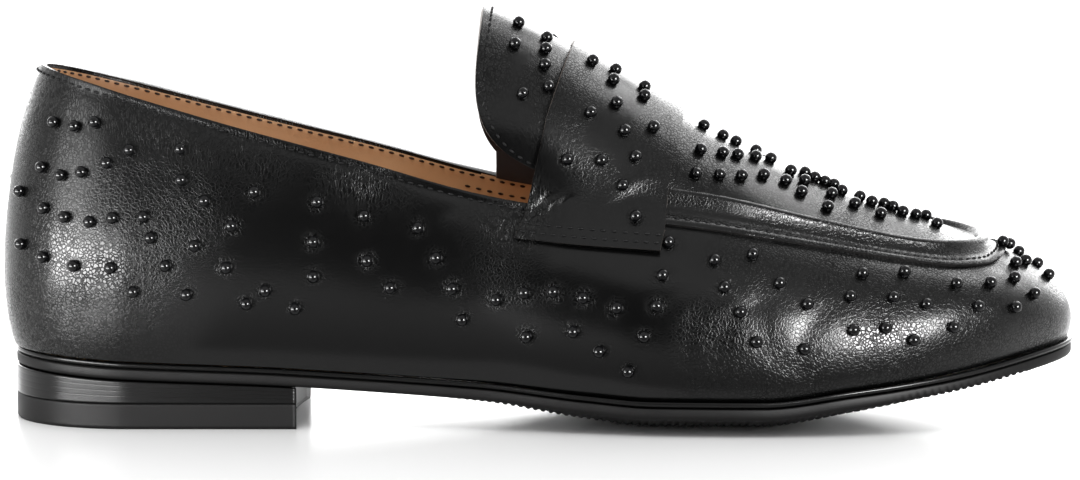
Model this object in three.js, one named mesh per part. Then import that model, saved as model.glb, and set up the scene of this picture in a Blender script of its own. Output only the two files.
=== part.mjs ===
// A right shoe: a woman's black leather loafer with a low stacked heel, a raised apron on the vamp,
// a saddle strap over the instep and a tall rounded tongue. It stands on its heel and forefoot.
// Millimetres, +X to the toe, +Y to the inner (medial) side of the foot, +Z up, floor at z = 0.
// The origin is on the floor under the middle of the shoe's length and width.
import * as THREE from "three";
import { mergeVertices } from "three/addons/utils/BufferGeometryUtils.js";

// Driving dimensions.
const LENGTH = 260; // back of the heel curve to the tip of the toe
const BALL_WIDTH = 90; // over the upper at the ball of the foot
const HEEL_RISE = 13.5; // floor to the underside of the sole at the back
const TOE_SPRING = 14.9; // floor to the underside of the sole at the toe tip
const TREAD_CROWN = 4; // how far the edge of the sole stands above its middle at the ball
const COLLAR_HEIGHT = 85.5; // floor to the topline at the back
const TONGUE_HEIGHT = 99.3; // floor to the tip of the tongue
const OUTSOLE_THICKNESS = 2.6;
const MIDSOLE_THICKNESS = 1.2;
const INSOLE_THICKNESS = 2.4;
const LIFT_THICKNESS = 6; // the rubber top piece under the heel
const HEEL_LENGTH = 72.8; // back of the shoe to the heel breast
const BREAST_HOLLOW = 2.5; // how far the heel breast curves in at its middle
const FOREFOOT_MARGIN = 0.7; // how far the sole stands out from the upper's lower edge
const HEEL_MARGIN = -0.7;
const MIDSOLE_BEAD = 0.3; // how far the midsole's edge stands out from the outsole's
const SOLE_BEVEL = 0.7;
const WALL = 1.8; // leather and lining together
const STRAP_THICKNESS = 1.5;
const STRAP_REAR_TOP = 138; // the strap's edges, measured from the back of the shoe
const STRAP_FRONT_TOP = 165;
const STRAP_REAR_FOOT = 124;
const STRAP_FRONT_FOOT = 157.5;
const TONGUE_TIP = 116.4; // the tongue's free end, from the back of the shoe
const TONGUE_SWEEP = 5.5; // how far the tongue's end runs back beside its tip
const TONGUE_CUT_OUTER = 17.8; // how far its lower corners are cut forward
const TONGUE_CUT_INNER = 8;
const TONGUE_TUCK = 0.8; // how far its inner side reaches down behind the topline
const TONGUE_JOINT = 150; // where tongue and apron meet under the strap
const RIM_HEIGHT = 1.1; // the apron's ridge above the leather inside it
const RIM_WIDTH = 2.2;
const GAP = 0.3; // clearance between neighbouring pieces
const FACET_ALLOWANCE = 0.05; // added under the strap, whose bed and neighbours are faceted

const HALF_BALL = BALL_WIDTH / 2;
const SOLE_STACK = OUTSOLE_THICKNESS + MIDSOLE_THICKNESS + 2 * GAP;
const FLAT_SHARE = 0.45; // the share of the sole's width that stays flat across
const CROWN_LIMIT_SHARE = 1.15; // the crown rises no further beyond this share of the curved part

// Height of the sole's underside along its middle: the heel's share of HEEL_RISE, the toe's of
// TOE_SPRING, and the crown's of TREAD_CROWN.
const SOLE_PROFILE = [
  { along: 0.0, heel: 1.0, toe: 0.0, crown: 0.0 },
  { along: 0.13, heel: 0.86, toe: 0.0, crown: 0.0 },
  { along: 0.28, heel: 0.74, toe: 0.0, crown: 0.0 },
  { along: 0.45, heel: 0.4, toe: 0.0, crown: 0.5 },
  { along: 0.54, heel: 0.12, toe: 0.0, crown: 0.85 },
  { along: 0.6, heel: 0.0, toe: 0.0, crown: 1.0 },
  { along: 0.7, heel: 0.0, toe: 0.0, crown: 1.0 },
  { along: 0.78, heel: 0.0, toe: 0.21, crown: 0.85 },
  { along: 0.86, heel: 0.0, toe: 0.52, crown: 0.5 },
  { along: 0.95, heel: 0.0, toe: 0.87, crown: 0.15 },
  { along: 1.0, heel: 0.0, toe: 1.0, crown: 0.0 },
];

// Plan of the upper's lower edge, as shares of half the ball width. At the two ends these are the
// widths before the ends are rounded.
const FEATHER_PLAN = [
  { along: 0.0, outer: 0.64, inner: 0.64 },
  { along: 0.12, outer: 0.64, inner: 0.64 },
  { along: 0.25, outer: 0.64, inner: 0.61 },
  { along: 0.35, outer: 0.66, inner: 0.57 },
  { along: 0.44, outer: 0.7, inner: 0.58 },
  { along: 0.54, outer: 0.82, inner: 0.71 },
  { along: 0.62, outer: 0.91, inner: 0.86 },
  { along: 0.69, outer: 0.93, inner: 0.93 },
  { along: 0.75, outer: 0.91, inner: 0.955 },
  { along: 0.81, outer: 0.88, inner: 0.945 },
  { along: 1.0, outer: 0.76, inner: 0.93 },
];

// The upper's top edge: the topline round the collar, then the seam round the apron. Widths are
// shares of half the ball width. Height and tilt are shares of COLLAR_HEIGHT: tilt is how much
// higher the inner side lies than the outer.
const EDGE_PLAN = [
  { along: 0.037, outer: 0.49, inner: 0.49, height: 1.0, tilt: 0.0 },
  { along: 0.09, outer: 0.51, inner: 0.51, height: 0.955, tilt: 0.0 },
  { along: 0.135, outer: 0.545, inner: 0.545, height: 0.916, tilt: 0.005 },
  { along: 0.23, outer: 0.61, inner: 0.61, height: 0.836, tilt: 0.01 },
  { along: 0.345, outer: 0.635, inner: 0.635, height: 0.745, tilt: 0.015 },
  { along: 0.43, outer: 0.65, inner: 0.65, height: 0.673, tilt: 0.018 },
  { along: 0.48, outer: 0.665, inner: 0.665, height: 0.64, tilt: 0.015 },
  { along: 0.61, outer: 0.71, inner: 0.735, height: 0.583, tilt: 0.005 },
  { along: 0.66, outer: 0.71, inner: 0.755, height: 0.562, tilt: 0.002 },
  { along: 0.755, outer: 0.665, inner: 0.745, height: 0.512, tilt: 0.0 },
  { along: 0.85, outer: 0.58, inner: 0.7, height: 0.464, tilt: 0.0 },
  { along: 0.885, outer: 0.53, inner: 0.67, height: 0.452, tilt: 0.0 },
  { along: 0.908, outer: 0.49, inner: 0.64, height: 0.451, tilt: 0.0 },
  { along: 0.923, outer: 0.47, inner: 0.63, height: 0.463, tilt: 0.0 },
  { along: 0.931, outer: 0.46, inner: 0.62, height: 0.478, tilt: 0.0 },
];

// The shoulder line: the apron's ridge in front, and the tongue's lower edge behind. Fullness is
// the power of the arch over it, from 0.5 for a half ellipse to 1 for a parabola.
const SHOULDER_PLAN = [
  { along: 0.43, outer: 0.63, inner: 0.63, height: 0.725, tilt: 0.0, fullness: 0.5 },
  { along: 0.5, outer: 0.64, inner: 0.645, height: 0.719, tilt: 0.0, fullness: 0.5 },
  { along: 0.577, outer: 0.62, inner: 0.655, height: 0.68, tilt: 0.0, fullness: 0.6 },
  { along: 0.615, outer: 0.62, inner: 0.665, height: 0.668, tilt: 0.0, fullness: 0.72 },
  { along: 0.66, outer: 0.62, inner: 0.675, height: 0.648, tilt: 0.0, fullness: 0.85 },
  { along: 0.755, outer: 0.575, inner: 0.66, height: 0.586, tilt: 0.01, fullness: 1.0 },
  { along: 0.85, outer: 0.49, inner: 0.61, height: 0.533, tilt: 0.025, fullness: 1.0 },
  { along: 0.92, outer: 0.36, inner: 0.54, height: 0.512, tilt: 0.025, fullness: 1.0 },
];

// The crest of instep and apron along the middle, as shares of TONGUE_HEIGHT.
const CREST = [
  { along: 0.42, height: 1.033 },
  { along: 0.448, height: 1.0 },
  { along: 0.505, height: 0.934 },
  { along: 0.56, height: 0.849 },
  { along: 0.615, height: 0.763 },
  { along: 0.66, height: 0.688 },
  { along: 0.725, height: 0.611 },
  { along: 0.79, height: 0.542 },
  { along: 0.85, height: 0.488 },
  { along: 0.912, height: 0.428 },
];

// Shape of a rib of the wall between lower and top edge: how far its two inner control points lie
// outside the edges, as shares of half the ball width, and how far up or down, as shares of the rib.
const RIB_SHAPE = [
  { along: 0.01, lowOut: 0.1, lowUp: 0.18, highOut: 0.21, highDown: 0.345 },
  { along: 0.13, lowOut: 0.115, lowUp: 0.2, highOut: 0.15, highDown: 0.35 },
  { along: 0.38, lowOut: 0.1, lowUp: 0.24, highOut: 0.1, highDown: 0.35 },
  { along: 0.52, lowOut: 0.11, lowUp: 0.23, highOut: 0.18, highDown: 0.3 },
  { along: 0.69, lowOut: 0.11, lowUp: 0.25, highOut: 0.255, highDown: 0.23 },
  { along: 0.85, lowOut: 0.09, lowUp: 0.28, highOut: 0.28, highDown: 0.28 },
  { along: 0.996, lowOut: 0.06, lowUp: 0.3, highOut: 0.365, highDown: 0.35 },
];

// Closed lines in plan. Ends are shares of LENGTH, roundings too.
const FEATHER_LINE = {
  plan: FEATHER_PLAN,
  ends: { back: 0.01, front: 0.996 },
  round: { back: 0.118, front: 0.24, backPower: 2, frontPower: 1.9 },
};
const EDGE_LINE = {
  plan: EDGE_PLAN,
  ends: { back: 0.037, front: 0.931 },
  round: { back: 0.085, front: 0.078, backPower: 2, frontPower: 2.3 },
};
const SHOULDER_LINE = {
  plan: SHOULDER_PLAN,
  ends: { back: 0.049, front: 0.92 },
  round: { back: 0.085, front: 0.07, backPower: 2, frontPower: 2.3 },
};

// Round the toe the seam's points run ahead of the lower edge's, so that the ribs fan out.
const SEAM_LEAD = { share: 0.065, span: 0.42 };

// Where the strap leaves the arch (share of the arch), meets the wall and ends (shares of a rib), how
// its own half length is split between them, how far its bridge pulls on, and how its edges flare.
const STRAP_ROUTE = { leavesArch: 0.76, meetsWall: 0.92, foot: 0.8 };
const STRAP_SPLIT = { arch: 0.62, wall: 0.87 };
const STRAP_PULL = 0.38;
const STRAP_FLARE_POWER = 1.6;
const TONGUE_CUT_POWER = 8;

// Shares of the length at which the sole's margin is the forefoot's, of the heel's at which its
// breast begins to hollow, and of the apron's side at which its middle row lies.
const FOREFOOT_FROM = 0.6;
const HOLLOW_FROM = 0.7;
const APRON_SIDE_ROW = 0.55;

const SAME_POINT = 0.001;

// Small steps that a direction is measured over: a turn of the ring, and a share of a curve.
const SMALL_TURN = 0.01;
const SMALL_SHARE = 0.02;

// Mesh steps.
const RIBS = 32; // from heel to toe, on each side
const WALL_STEPS = 8;
const ARCH_STEPS = 10;
const SOLE_STEPS = 7;
const TONGUE_STEPS = { along: 10, over: 14 };
const STRAP_STEPS = { along: 8, over: 30 };

const xAt = (along) => (along - 0.5) * LENGTH;
const alongOf = (x) => x / LENGTH + 0.5;

// Smooth, never overshooting interpolation of one column of a table over its first column.
function column(table, name) {
  const x = table.map((row) => row.along);
  const y = table.map((row) => row[name]);
  const slope = x.slice(1).map((_, i) => (y[i + 1] - y[i]) / (x[i + 1] - x[i]));
  const tangent = y.map((_, i) => {
    if (i === 0) return slope[0];
    if (i === y.length - 1) return slope[i - 1];
    if (slope[i - 1] * slope[i] <= 0) return 0;
    return (2 * slope[i - 1] * slope[i]) / (slope[i - 1] + slope[i]);
  });
  return (at) => {
    if (at <= x[0]) return y[0] + (at - x[0]) * tangent[0];
    const last = x.length - 1;
    if (at >= x[last]) return y[last] + (at - x[last]) * tangent[last];
    const i = x.findIndex((v) => v > at) - 1;
    const h = x[i + 1] - x[i];
    const t = (at - x[i]) / h;
    const a = 2 * t ** 3 - 3 * t ** 2 + 1;
    const b = t ** 3 - 2 * t ** 2 + t;
    const c = 3 * t ** 2 - 2 * t ** 3;
    const d = t ** 3 - t ** 2;
    return a * y[i] + b * h * tangent[i] + c * y[i + 1] + d * h * tangent[i + 1];
  };
}

const soleHeel = column(SOLE_PROFILE, "heel");
const soleToe = column(SOLE_PROFILE, "toe");
const soleCrown = column(SOLE_PROFILE, "crown");
const featherOuter = column(FEATHER_PLAN, "outer");
const featherInner = column(FEATHER_PLAN, "inner");
const fullness = column(SHOULDER_PLAN, "fullness");
const crestHeight = column(CREST, "height");
const rib = Object.fromEntries(
  ["lowOut", "lowUp", "highOut", "highDown"].map((name) => [name, column(RIB_SHAPE, name)]),
);
for (const line of [FEATHER_LINE, EDGE_LINE, SHOULDER_LINE]) {
  line.outer = column(line.plan, "outer");
  line.inner = column(line.plan, "inner");
}
for (const line of [EDGE_LINE, SHOULDER_LINE]) {
  line.height = column(line.plan, "height");
  line.tilt = column(line.plan, "tilt");
}

const clamp = THREE.MathUtils.clamp;
const mix = THREE.MathUtils.lerp;

// Underside of the sole over any point of the plan.
function underside(x, y) {
  const along = alongOf(x);
  const half = HALF_BALL * (y < 0 ? featherOuter(along) : featherInner(along));
  const beyond = Math.max(0, Math.abs(y) / half - FLAT_SHARE) / (1 - FLAT_SHARE);
  const middle = HEEL_RISE * soleHeel(along) + TOE_SPRING * soleToe(along);
  return middle + TREAD_CROWN * soleCrown(along) * Math.min(beyond, CROWN_LIMIT_SHARE) ** 2;
}
const soleTop = (x, y) => underside(x, y) + SOLE_STACK;

// A point of a closed line at a ring angle: 0 at the heel, PI at the toe, the outer side between.
function planPoint(line, angle) {
  const side = Math.sin(angle) >= 0 ? -1 : 1;
  const { ends, round } = line;
  let share = (1 - Math.cos(angle)) / 2;
  if (line !== FEATHER_LINE) {
    const left = Math.min(1, (1 - share) / SEAM_LEAD.span);
    share += SEAM_LEAD.share * (4 * left * (1 - left)) ** 2;
  }
  const along = mix(ends.back, ends.front, share);
  const heelPart = clamp((along - ends.back) / round.back, 0, 1);
  const toePart = clamp((ends.front - along) / round.front, 0, 1);
  const heelRound = Math.sqrt(1 - (1 - heelPart) ** round.backPower);
  const toeRound = Math.sqrt(1 - (1 - toePart) ** round.frontPower);
  const outer = HALF_BALL * line.outer(along);
  const inner = HALF_BALL * line.inner(along);
  const y = (inner - outer) / 2 + (side * heelRound * toeRound * (inner + outer)) / 2;
  return new THREE.Vector3(xAt(along), y, 0);
}

// Outward direction in plan, square to the line.
function outward(line, angle) {
  const t = planPoint(line, angle + SMALL_TURN).sub(planPoint(line, angle - SMALL_TURN)).normalize();
  return new THREE.Vector3(t.y, -t.x, 0);
}

function featherPoint(angle) {
  const p = planPoint(FEATHER_LINE, angle);
  return p.setZ(soleTop(p.x, p.y));
}

// Height of the top edge or the shoulder line over a point of its plan.
function lineHeight(line, { x, y }) {
  const along = alongOf(x);
  const width = HALF_BALL * (line.outer(along) + line.inner(along));
  return COLLAR_HEIGHT * (line.height(along) + (line.tilt(along) * y) / width);
}

function edgePoint(angle) {
  const p = planPoint(EDGE_LINE, angle);
  return p.setZ(lineHeight(EDGE_LINE, p));
}

function shoulderPoint(angle) {
  const p = planPoint(SHOULDER_LINE, angle);
  return p.setZ(lineHeight(SHOULDER_LINE, p));
}

// The wall of the upper: t runs from 0 at the sole to 1 at the top edge.
function wallPoint(angle, t) {
  const low = featherPoint(angle);
  const high = edgePoint(angle);
  const along = alongOf(low.x);
  const rise = high.z - low.z;
  const lowGuide = low
    .clone()
    .addScaledVector(outward(FEATHER_LINE, angle), HALF_BALL * rib.lowOut(along))
    .setZ(low.z + rise * rib.lowUp(along));
  const highGuide = high
    .clone()
    .addScaledVector(outward(EDGE_LINE, angle), HALF_BALL * rib.highOut(along))
    .setZ(high.z - rise * rib.highDown(along));
  return new THREE.CubicBezierCurve3(low, lowGuide, highGuide, high).getPoint(t);
}

// The arch from shoulder to shoulder: across runs from -1 (outer) through 0 (crest) to 1 (inner).
// inset moves its feet in from the shoulder line, and drop lowers them.
function archPoint(angle, across, inset = 0, drop = 0) {
  const foot = [angle, 2 * Math.PI - angle].map((a) =>
    shoulderPoint(a).addScaledVector(outward(SHOULDER_LINE, a), -inset),
  );
  const along = alongOf(foot[0].x);
  const half = (foot[1].y - foot[0].y) / 2;
  const fullHalf = (HALF_BALL * (SHOULDER_LINE.outer(along) + SHOULDER_LINE.inner(along))) / 2 - inset;
  const turn = (across * Math.PI) / 2;
  const y = (foot[0].y + foot[1].y) / 2 + half * Math.sin(turn);
  const base = lineHeight(SHOULDER_LINE, { x: foot[0].x, y }) - drop;
  const middle = COLLAR_HEIGHT * SHOULDER_LINE.height(along) - drop;
  const rise = (TONGUE_HEIGHT * crestHeight(along) - middle) * Math.min(1, (half / fullHalf) ** 2);
  const share = Math.max(0, Math.cos(turn)) ** (2 * fullness(along));
  return new THREE.Vector3(foot[0].x, y, base + rise * share);
}

// The ring angle at which the top edge reaches a distance from the back of the shoe.
function angleAt(fromBack) {
  const x = fromBack - LENGTH / 2;
  let [low, high] = [0, Math.PI];
  for (let halving = 0; halving < 40; halving++) {
    const middle = (low + high) / 2;
    if (planPoint(EDGE_LINE, middle).x < x) low = middle;
    else high = middle;
  }
  return (low + high) / 2;
}

const steps = (count, from = 0, to = 1) =>
  Array.from({ length: count + 1 }, (_, i) => mix(from, to, i / count));

// Moves each point of a grid along the surface's own normal. Points that coincide stay together.
function offset(grid, distance) {
  const key = (p) => [p.x, p.y, p.z].map((v) => v.toFixed(3)).join();
  const normals = new Map();
  const add = (a, b, c) => {
    const n = b.clone().sub(a).cross(c.clone().sub(a));
    for (const p of [a, b, c]) {
      if (!normals.has(key(p))) normals.set(key(p), new THREE.Vector3());
      normals.get(key(p)).add(n);
    }
  };
  for (let i = 0; i + 1 < grid.length; i++)
    for (let j = 0; j + 1 < grid[i].length; j++) {
      add(grid[i][j], grid[i + 1][j], grid[i + 1][j + 1]);
      add(grid[i][j], grid[i + 1][j + 1], grid[i][j + 1]);
    }
  return grid.map((row) =>
    row.map((p) => p.clone().addScaledVector(normals.get(key(p)).clone().normalize(), distance)),
  );
}

// A closed shell between an outer and an inner grid of the same make. The sides always get a wall,
// and the first and last rows do where they are open.
function shell(outer, inner, { start = false, end = false } = {}) {
  const corners = [];
  const apart = (a, b) => a.distanceTo(b) > SAME_POINT;
  const triangle = (a, b, c) => {
    if (apart(a, b) && apart(b, c) && apart(c, a)) corners.push(a, b, c);
  };
  const quad = (a, b, c, d) => {
    triangle(a, b, c);
    triangle(a, c, d);
  };
  const rows = outer.length - 1;
  const columns = outer[0].length - 1;
  for (let i = 0; i < rows; i++) {
    for (let j = 0; j < columns; j++) {
      quad(outer[i][j], outer[i + 1][j], outer[i + 1][j + 1], outer[i][j + 1]);
      quad(inner[i][j], inner[i][j + 1], inner[i + 1][j + 1], inner[i + 1][j]);
    }
    quad(outer[i + 1][0], outer[i][0], inner[i][0], inner[i + 1][0]);
    quad(outer[i][columns], outer[i + 1][columns], inner[i + 1][columns], inner[i][columns]);
  }
  for (let j = 0; j < columns; j++) {
    if (start) quad(outer[0][j], outer[0][j + 1], inner[0][j + 1], inner[0][j]);
    if (end) quad(outer[rows][j + 1], outer[rows][j], inner[rows][j], inner[rows][j + 1]);
  }
  const geometry = new THREE.BufferGeometry().setFromPoints(corners);
  return mergeVertices(geometry, SAME_POINT);
}

// A plate between two heights, from the back to the last ring angle. outline gives the plan at a
// ring angle, inset by a distance. bevel raises the edge of the lower face, and bend hollows the
// plate's front end.
function plate(outline, top, bottom, { lastAngle = Math.PI, bevel = 0, bend = 0 } = {}) {
  const rows = Math.round((RIBS * lastAngle) / Math.PI);
  const face = (height, lift) =>
    steps(rows, 0, lastAngle).map((angle, i) => {
      const mirror = 2 * Math.PI - angle;
      const ends = [outline(angle, 0), outline(mirror, 0)];
      const row = [
        ends[0],
        ...steps(SOLE_STEPS).map((s) =>
          outline(angle, SOLE_BEVEL).lerp(outline(mirror, SOLE_BEVEL), s),
        ),
        ends[1],
      ];
      const half = (ends[1].y - ends[0].y) / 2;
      const middle = (ends[1].y + ends[0].y) / 2;
      const bending = (bend * Math.max(0, i / rows - HOLLOW_FROM)) / (1 - HOLLOW_FROM);
      for (const p of row) {
        if (bending) p.x -= bending * (1 - ((p.y - middle) / half) ** 2);
        p.z = height(p.x, p.y) + (ends.includes(p) ? lift : 0);
      }
      return row;
    });
  return shell(face(top, 0), face(bottom, bevel), { end: lastAngle < Math.PI });
}

// The sole's plan, with the given extra margin round it.
const soleOutline = (extra) => (angle, inset) => {
  const p = planPoint(FEATHER_LINE, angle);
  const front = THREE.MathUtils.smoothstep(alongOf(p.x), HEEL_LENGTH / LENGTH, FOREFOOT_FROM);
  const margin = mix(HEEL_MARGIN, FOREFOOT_MARGIN + extra, front);
  return p.addScaledVector(outward(FEATHER_LINE, angle), margin - inset);
};

const soleEnds = FEATHER_LINE.ends;
const breastShare = (HEEL_LENGTH / LENGTH - soleEnds.back) / (soleEnds.front - soleEnds.back);
const breastAngle = Math.acos(1 - 2 * breastShare);

function outsole() {
  const top = (x, y) => underside(x, y) + OUTSOLE_THICKNESS;
  return plate(soleOutline(0), top, underside, { bevel: SOLE_BEVEL });
}

function midsole() {
  const bottom = (x, y) => underside(x, y) + OUTSOLE_THICKNESS + GAP;
  return plate(soleOutline(MIDSOLE_BEAD), (x, y) => bottom(x, y) + MIDSOLE_THICKNESS, bottom);
}

function insole() {
  const inside = (angle, inset) => {
    const inwards = -(WALL + 2 * GAP + inset);
    return planPoint(FEATHER_LINE, angle).addScaledVector(outward(FEATHER_LINE, angle), inwards);
  };
  const bottom = (x, y) => soleTop(x, y) + GAP;
  return plate(inside, (x, y) => bottom(x, y) + INSOLE_THICKNESS, bottom);
}

function heel() {
  const top = (x, y) => underside(x, y) - GAP;
  const bottom = () => LIFT_THICKNESS + GAP;
  return plate(soleOutline(0), top, bottom, { lastAngle: breastAngle, bend: BREAST_HOLLOW });
}

function topLift() {
  const top = () => LIFT_THICKNESS;
  const floor = () => 0;
  return plate(soleOutline(0), top, floor, { lastAngle: breastAngle, bend: BREAST_HOLLOW });
}

function upper() {
  const outer = steps(2 * RIBS, 0, 2 * Math.PI).map((angle) =>
    steps(WALL_STEPS).map((t) => wallPoint(angle % (2 * Math.PI), t)),
  );
  return shell(outer, offset(outer, -WALL));
}

// How much of the apron's rim shows: none where it starts under the strap.
const rimShare = (angle) =>
  THREE.MathUtils.smoothstep(edgePoint(angle).x + LENGTH / 2, TONGUE_JOINT, STRAP_FRONT_TOP);

// The apron's side rises from the seam to the ridge. It starts a little up its own slope, so that
// its wall stays clear of the upper's.
function apron() {
  const clear = Math.SQRT2 * GAP;
  const grid = (rim) =>
    steps(RIBS, angleAt(TONGUE_JOINT + GAP / 2), Math.PI).map((angle) => {
      const drop = RIM_HEIGHT * rimShare(angle);
      const flank = (a) => {
        const foot = edgePoint(a);
        const ridge = shoulderPoint(a);
        foot.lerp(ridge, clear / foot.distanceTo(ridge));
        return [foot, foot.clone().lerp(ridge, APRON_SIDE_ROW), ridge.setZ(ridge.z - (1 - rim) * drop)];
      };
      return [
        ...flank(angle),
        ...steps(ARCH_STEPS, -1, 1).map((across) => archPoint(angle, across, RIM_WIDTH, drop)),
        ...flank(2 * Math.PI - angle).reverse(),
      ];
    });
  return shell(grid(1), offset(grid(0), -WALL), { start: true });
}

function tongueEnd(across) {
  const cut = across < 0 ? TONGUE_CUT_OUTER : TONGUE_CUT_INNER;
  return TONGUE_TIP - TONGUE_SWEEP * across ** 2 + cut * Math.abs(across) ** TONGUE_CUT_POWER;
}

// On the inner side the tongue reaches on down, steps in and tucks in behind the topline.
function tongue() {
  const across = steps(TONGUE_STEPS.over, -1, 1).map((s) => Math.sin((s * Math.PI) / 2));
  const outer = steps(TONGUE_STEPS.along).map((t) => {
    const at = (s) => angleAt(mix(tongueEnd(s), TONGUE_JOINT - GAP, t));
    const side = archPoint(at(1), 1);
    const topline = lineHeight(EDGE_LINE, side);
    const bend = new THREE.Vector3(side.x, side.y - WALL + 2 * GAP, topline + 3 * GAP);
    const foot = bend.clone().setZ(topline - TONGUE_TUCK);
    return [...across.map((s) => archPoint(at(s), s)), bend, foot];
  });
  return shell(outer, offset(outer, -WALL), { start: true, end: true });
}

// The strap lies on tongue and apron, then bridges the shoulder and lies on the wall.
function strapBed(t, across) {
  const away = Math.abs(across);
  const rear = mix(STRAP_REAR_TOP, STRAP_REAR_FOOT, away ** STRAP_FLARE_POWER);
  const front = mix(STRAP_FRONT_TOP, STRAP_FRONT_FOOT, away ** STRAP_FLARE_POWER);
  const onOuterSide = angleAt(mix(rear, front, t));
  const side = across < 0 ? -1 : 1;
  const angle = side < 0 ? onOuterSide : 2 * Math.PI - onOuterSide;
  const { leavesArch, meetsWall, foot } = STRAP_ROUTE;
  const onArch = (s) => archPoint(onOuterSide, side * s);
  if (away <= STRAP_SPLIT.arch) return onArch((away / STRAP_SPLIT.arch) * leavesArch);
  if (away >= STRAP_SPLIT.wall) {
    const down = (away - STRAP_SPLIT.wall) / (1 - STRAP_SPLIT.wall);
    return wallPoint(angle, mix(meetsWall, foot, down));
  }
  const start = onArch(leavesArch);
  const end = wallPoint(angle, meetsWall);
  const reach = start.distanceTo(end) * STRAP_PULL;
  const startGuide = start.clone().sub(onArch(leavesArch - SMALL_SHARE)).setLength(reach).add(start);
  const endGuide = end.clone().sub(wallPoint(angle, meetsWall - SMALL_SHARE)).setLength(reach).add(end);
  const share = (away - STRAP_SPLIT.arch) / (STRAP_SPLIT.wall - STRAP_SPLIT.arch);
  return new THREE.CubicBezierCurve3(start, startGuide, endGuide, end).getPoint(share);
}

function strap() {
  const bed = steps(STRAP_STEPS.along).map((t) =>
    steps(STRAP_STEPS.over, -1, 1).map((across) => strapBed(t, across)),
  );
  const inner = offset(bed, GAP + FACET_ALLOWANCE);
  return shell(offset(bed, GAP + STRAP_THICKNESS), inner, { start: true, end: true });
}

const blackLeather = { color: 0x1a1819, roughness: 0.3, metalness: 0 };
const blackEdge = { color: 0x161415, roughness: 0.45, metalness: 0 };
const blackRubber = { color: 0x121112, roughness: 0.7, metalness: 0 };
const tanLeather = { color: 0xc08a52, roughness: 0.6, metalness: 0 };

const shoe = new THREE.Group();
for (const [name, geometry, finish] of [
  ["top_lift", topLift(), blackRubber],
  ["heel", heel(), blackEdge],
  ["outsole", outsole(), blackRubber],
  ["midsole", midsole(), blackEdge],
  ["insole", insole(), tanLeather],
  ["upper", upper(), blackLeather],
  ["apron", apron(), blackLeather],
  ["tongue", tongue(), blackLeather],
  ["strap", strap(), blackLeather],
]) {
  const mesh = new THREE.Mesh(geometry, new THREE.MeshStandardMaterial(finish));
  mesh.name = name;
  shoe.add(mesh);
}

export default shoe;
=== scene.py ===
"""A woman's black leather loafer with a studded upper, dressed around its CAD model.

The frame is the CAD model's: metres, +X to the toe, +Y to the inner side of the foot, +Z up, with
the floor at z = 0. Sizes here are in millimetres until a mesh is made.
"""

import math
import bmesh
import bpy
import numpy as np
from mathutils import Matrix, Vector
from mathutils.bvhtree import BVHTree


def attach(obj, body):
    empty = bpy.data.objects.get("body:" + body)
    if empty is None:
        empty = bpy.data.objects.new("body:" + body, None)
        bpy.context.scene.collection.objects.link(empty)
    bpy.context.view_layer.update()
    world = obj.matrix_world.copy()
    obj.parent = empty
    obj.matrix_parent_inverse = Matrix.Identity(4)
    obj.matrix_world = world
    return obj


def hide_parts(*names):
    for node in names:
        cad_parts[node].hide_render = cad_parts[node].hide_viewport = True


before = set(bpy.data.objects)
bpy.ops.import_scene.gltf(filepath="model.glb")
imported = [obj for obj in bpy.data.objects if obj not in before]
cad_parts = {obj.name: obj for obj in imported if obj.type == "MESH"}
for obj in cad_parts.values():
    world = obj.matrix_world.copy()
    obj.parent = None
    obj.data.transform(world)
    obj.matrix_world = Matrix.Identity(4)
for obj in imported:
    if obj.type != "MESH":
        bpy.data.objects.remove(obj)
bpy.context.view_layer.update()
BODY = "root"
MM = 0.001

# Studio: a long lens a little above the shoe's outer side, over a white table in a white room. Soft
# boxes stand left of the heel, right of the toe, behind and above. In front a black card stands and a
# grey one lies, and they show in the gloss alone, as the dark bands along the side.
PHOTO_WIDTH = 1080
PHOTO_HEIGHT = 480
FOCAL_PIXELS = 3521.0
SENSOR = 36.0
NEAREST_SEEN = 0.05
CAMERA_PLACE = np.array([0.2, -850.0, 122.0])
CAMERA_AIM = np.array([0.2, 0.0, 42.2])
TABLE_SIZE = 24.0
ROOM_FRONT = 1.0
ROOM_BACK = 1.6
ROOM_TURNS = (0.1, 0.7)
CARD_DISTANCE = 0.45
CARD_LEFT = -0.20
CARD_RIGHT = 0.11
CARD_HEIGHT = 0.24
GREY_LEFT = -0.085
GREY_RIGHT = 0.40
GREY_NEAR = 0.055
GREY_RISE = 0.0004


def linear(hex_colour, alpha=1.0):
    """An sRGB hex colour as linear RGBA."""
    channels = [int(hex_colour[i : i + 2], 16) / 255 for i in (1, 3, 5)]
    return (*[c / 12.92 if c <= 0.04045 else ((c + 0.055) / 1.055) ** 2.4 for c in channels], alpha)


def add(tree, kind, inputs=None, **settings):
    """Adds a node. An input that is a socket is linked, and any other is set as a value."""
    new = tree.nodes.new(kind)
    for key, value in settings.items():
        setattr(new, key, value)
    for key, value in (inputs or {}).items():
        if isinstance(value, bpy.types.NodeSocket):
            tree.links.new(value, new.inputs[key])
        else:
            new.inputs[key].default_value = value
    return new


def remapped(tree, value, low, high, to_low, to_high, kind="LINEAR"):
    """A value moved from one span to another, and kept inside it."""
    inputs = {"Value": value, "From Min": low, "From Max": high, "To Min": to_low, "To Max": to_high}
    return add(tree, "ShaderNodeMapRange", inputs, interpolation_type=kind).outputs["Result"]


def place_object(name, data):
    """A new object in the scene."""
    new = bpy.data.objects.new(name, data)
    bpy.context.collection.objects.link(new)
    return new


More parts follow.
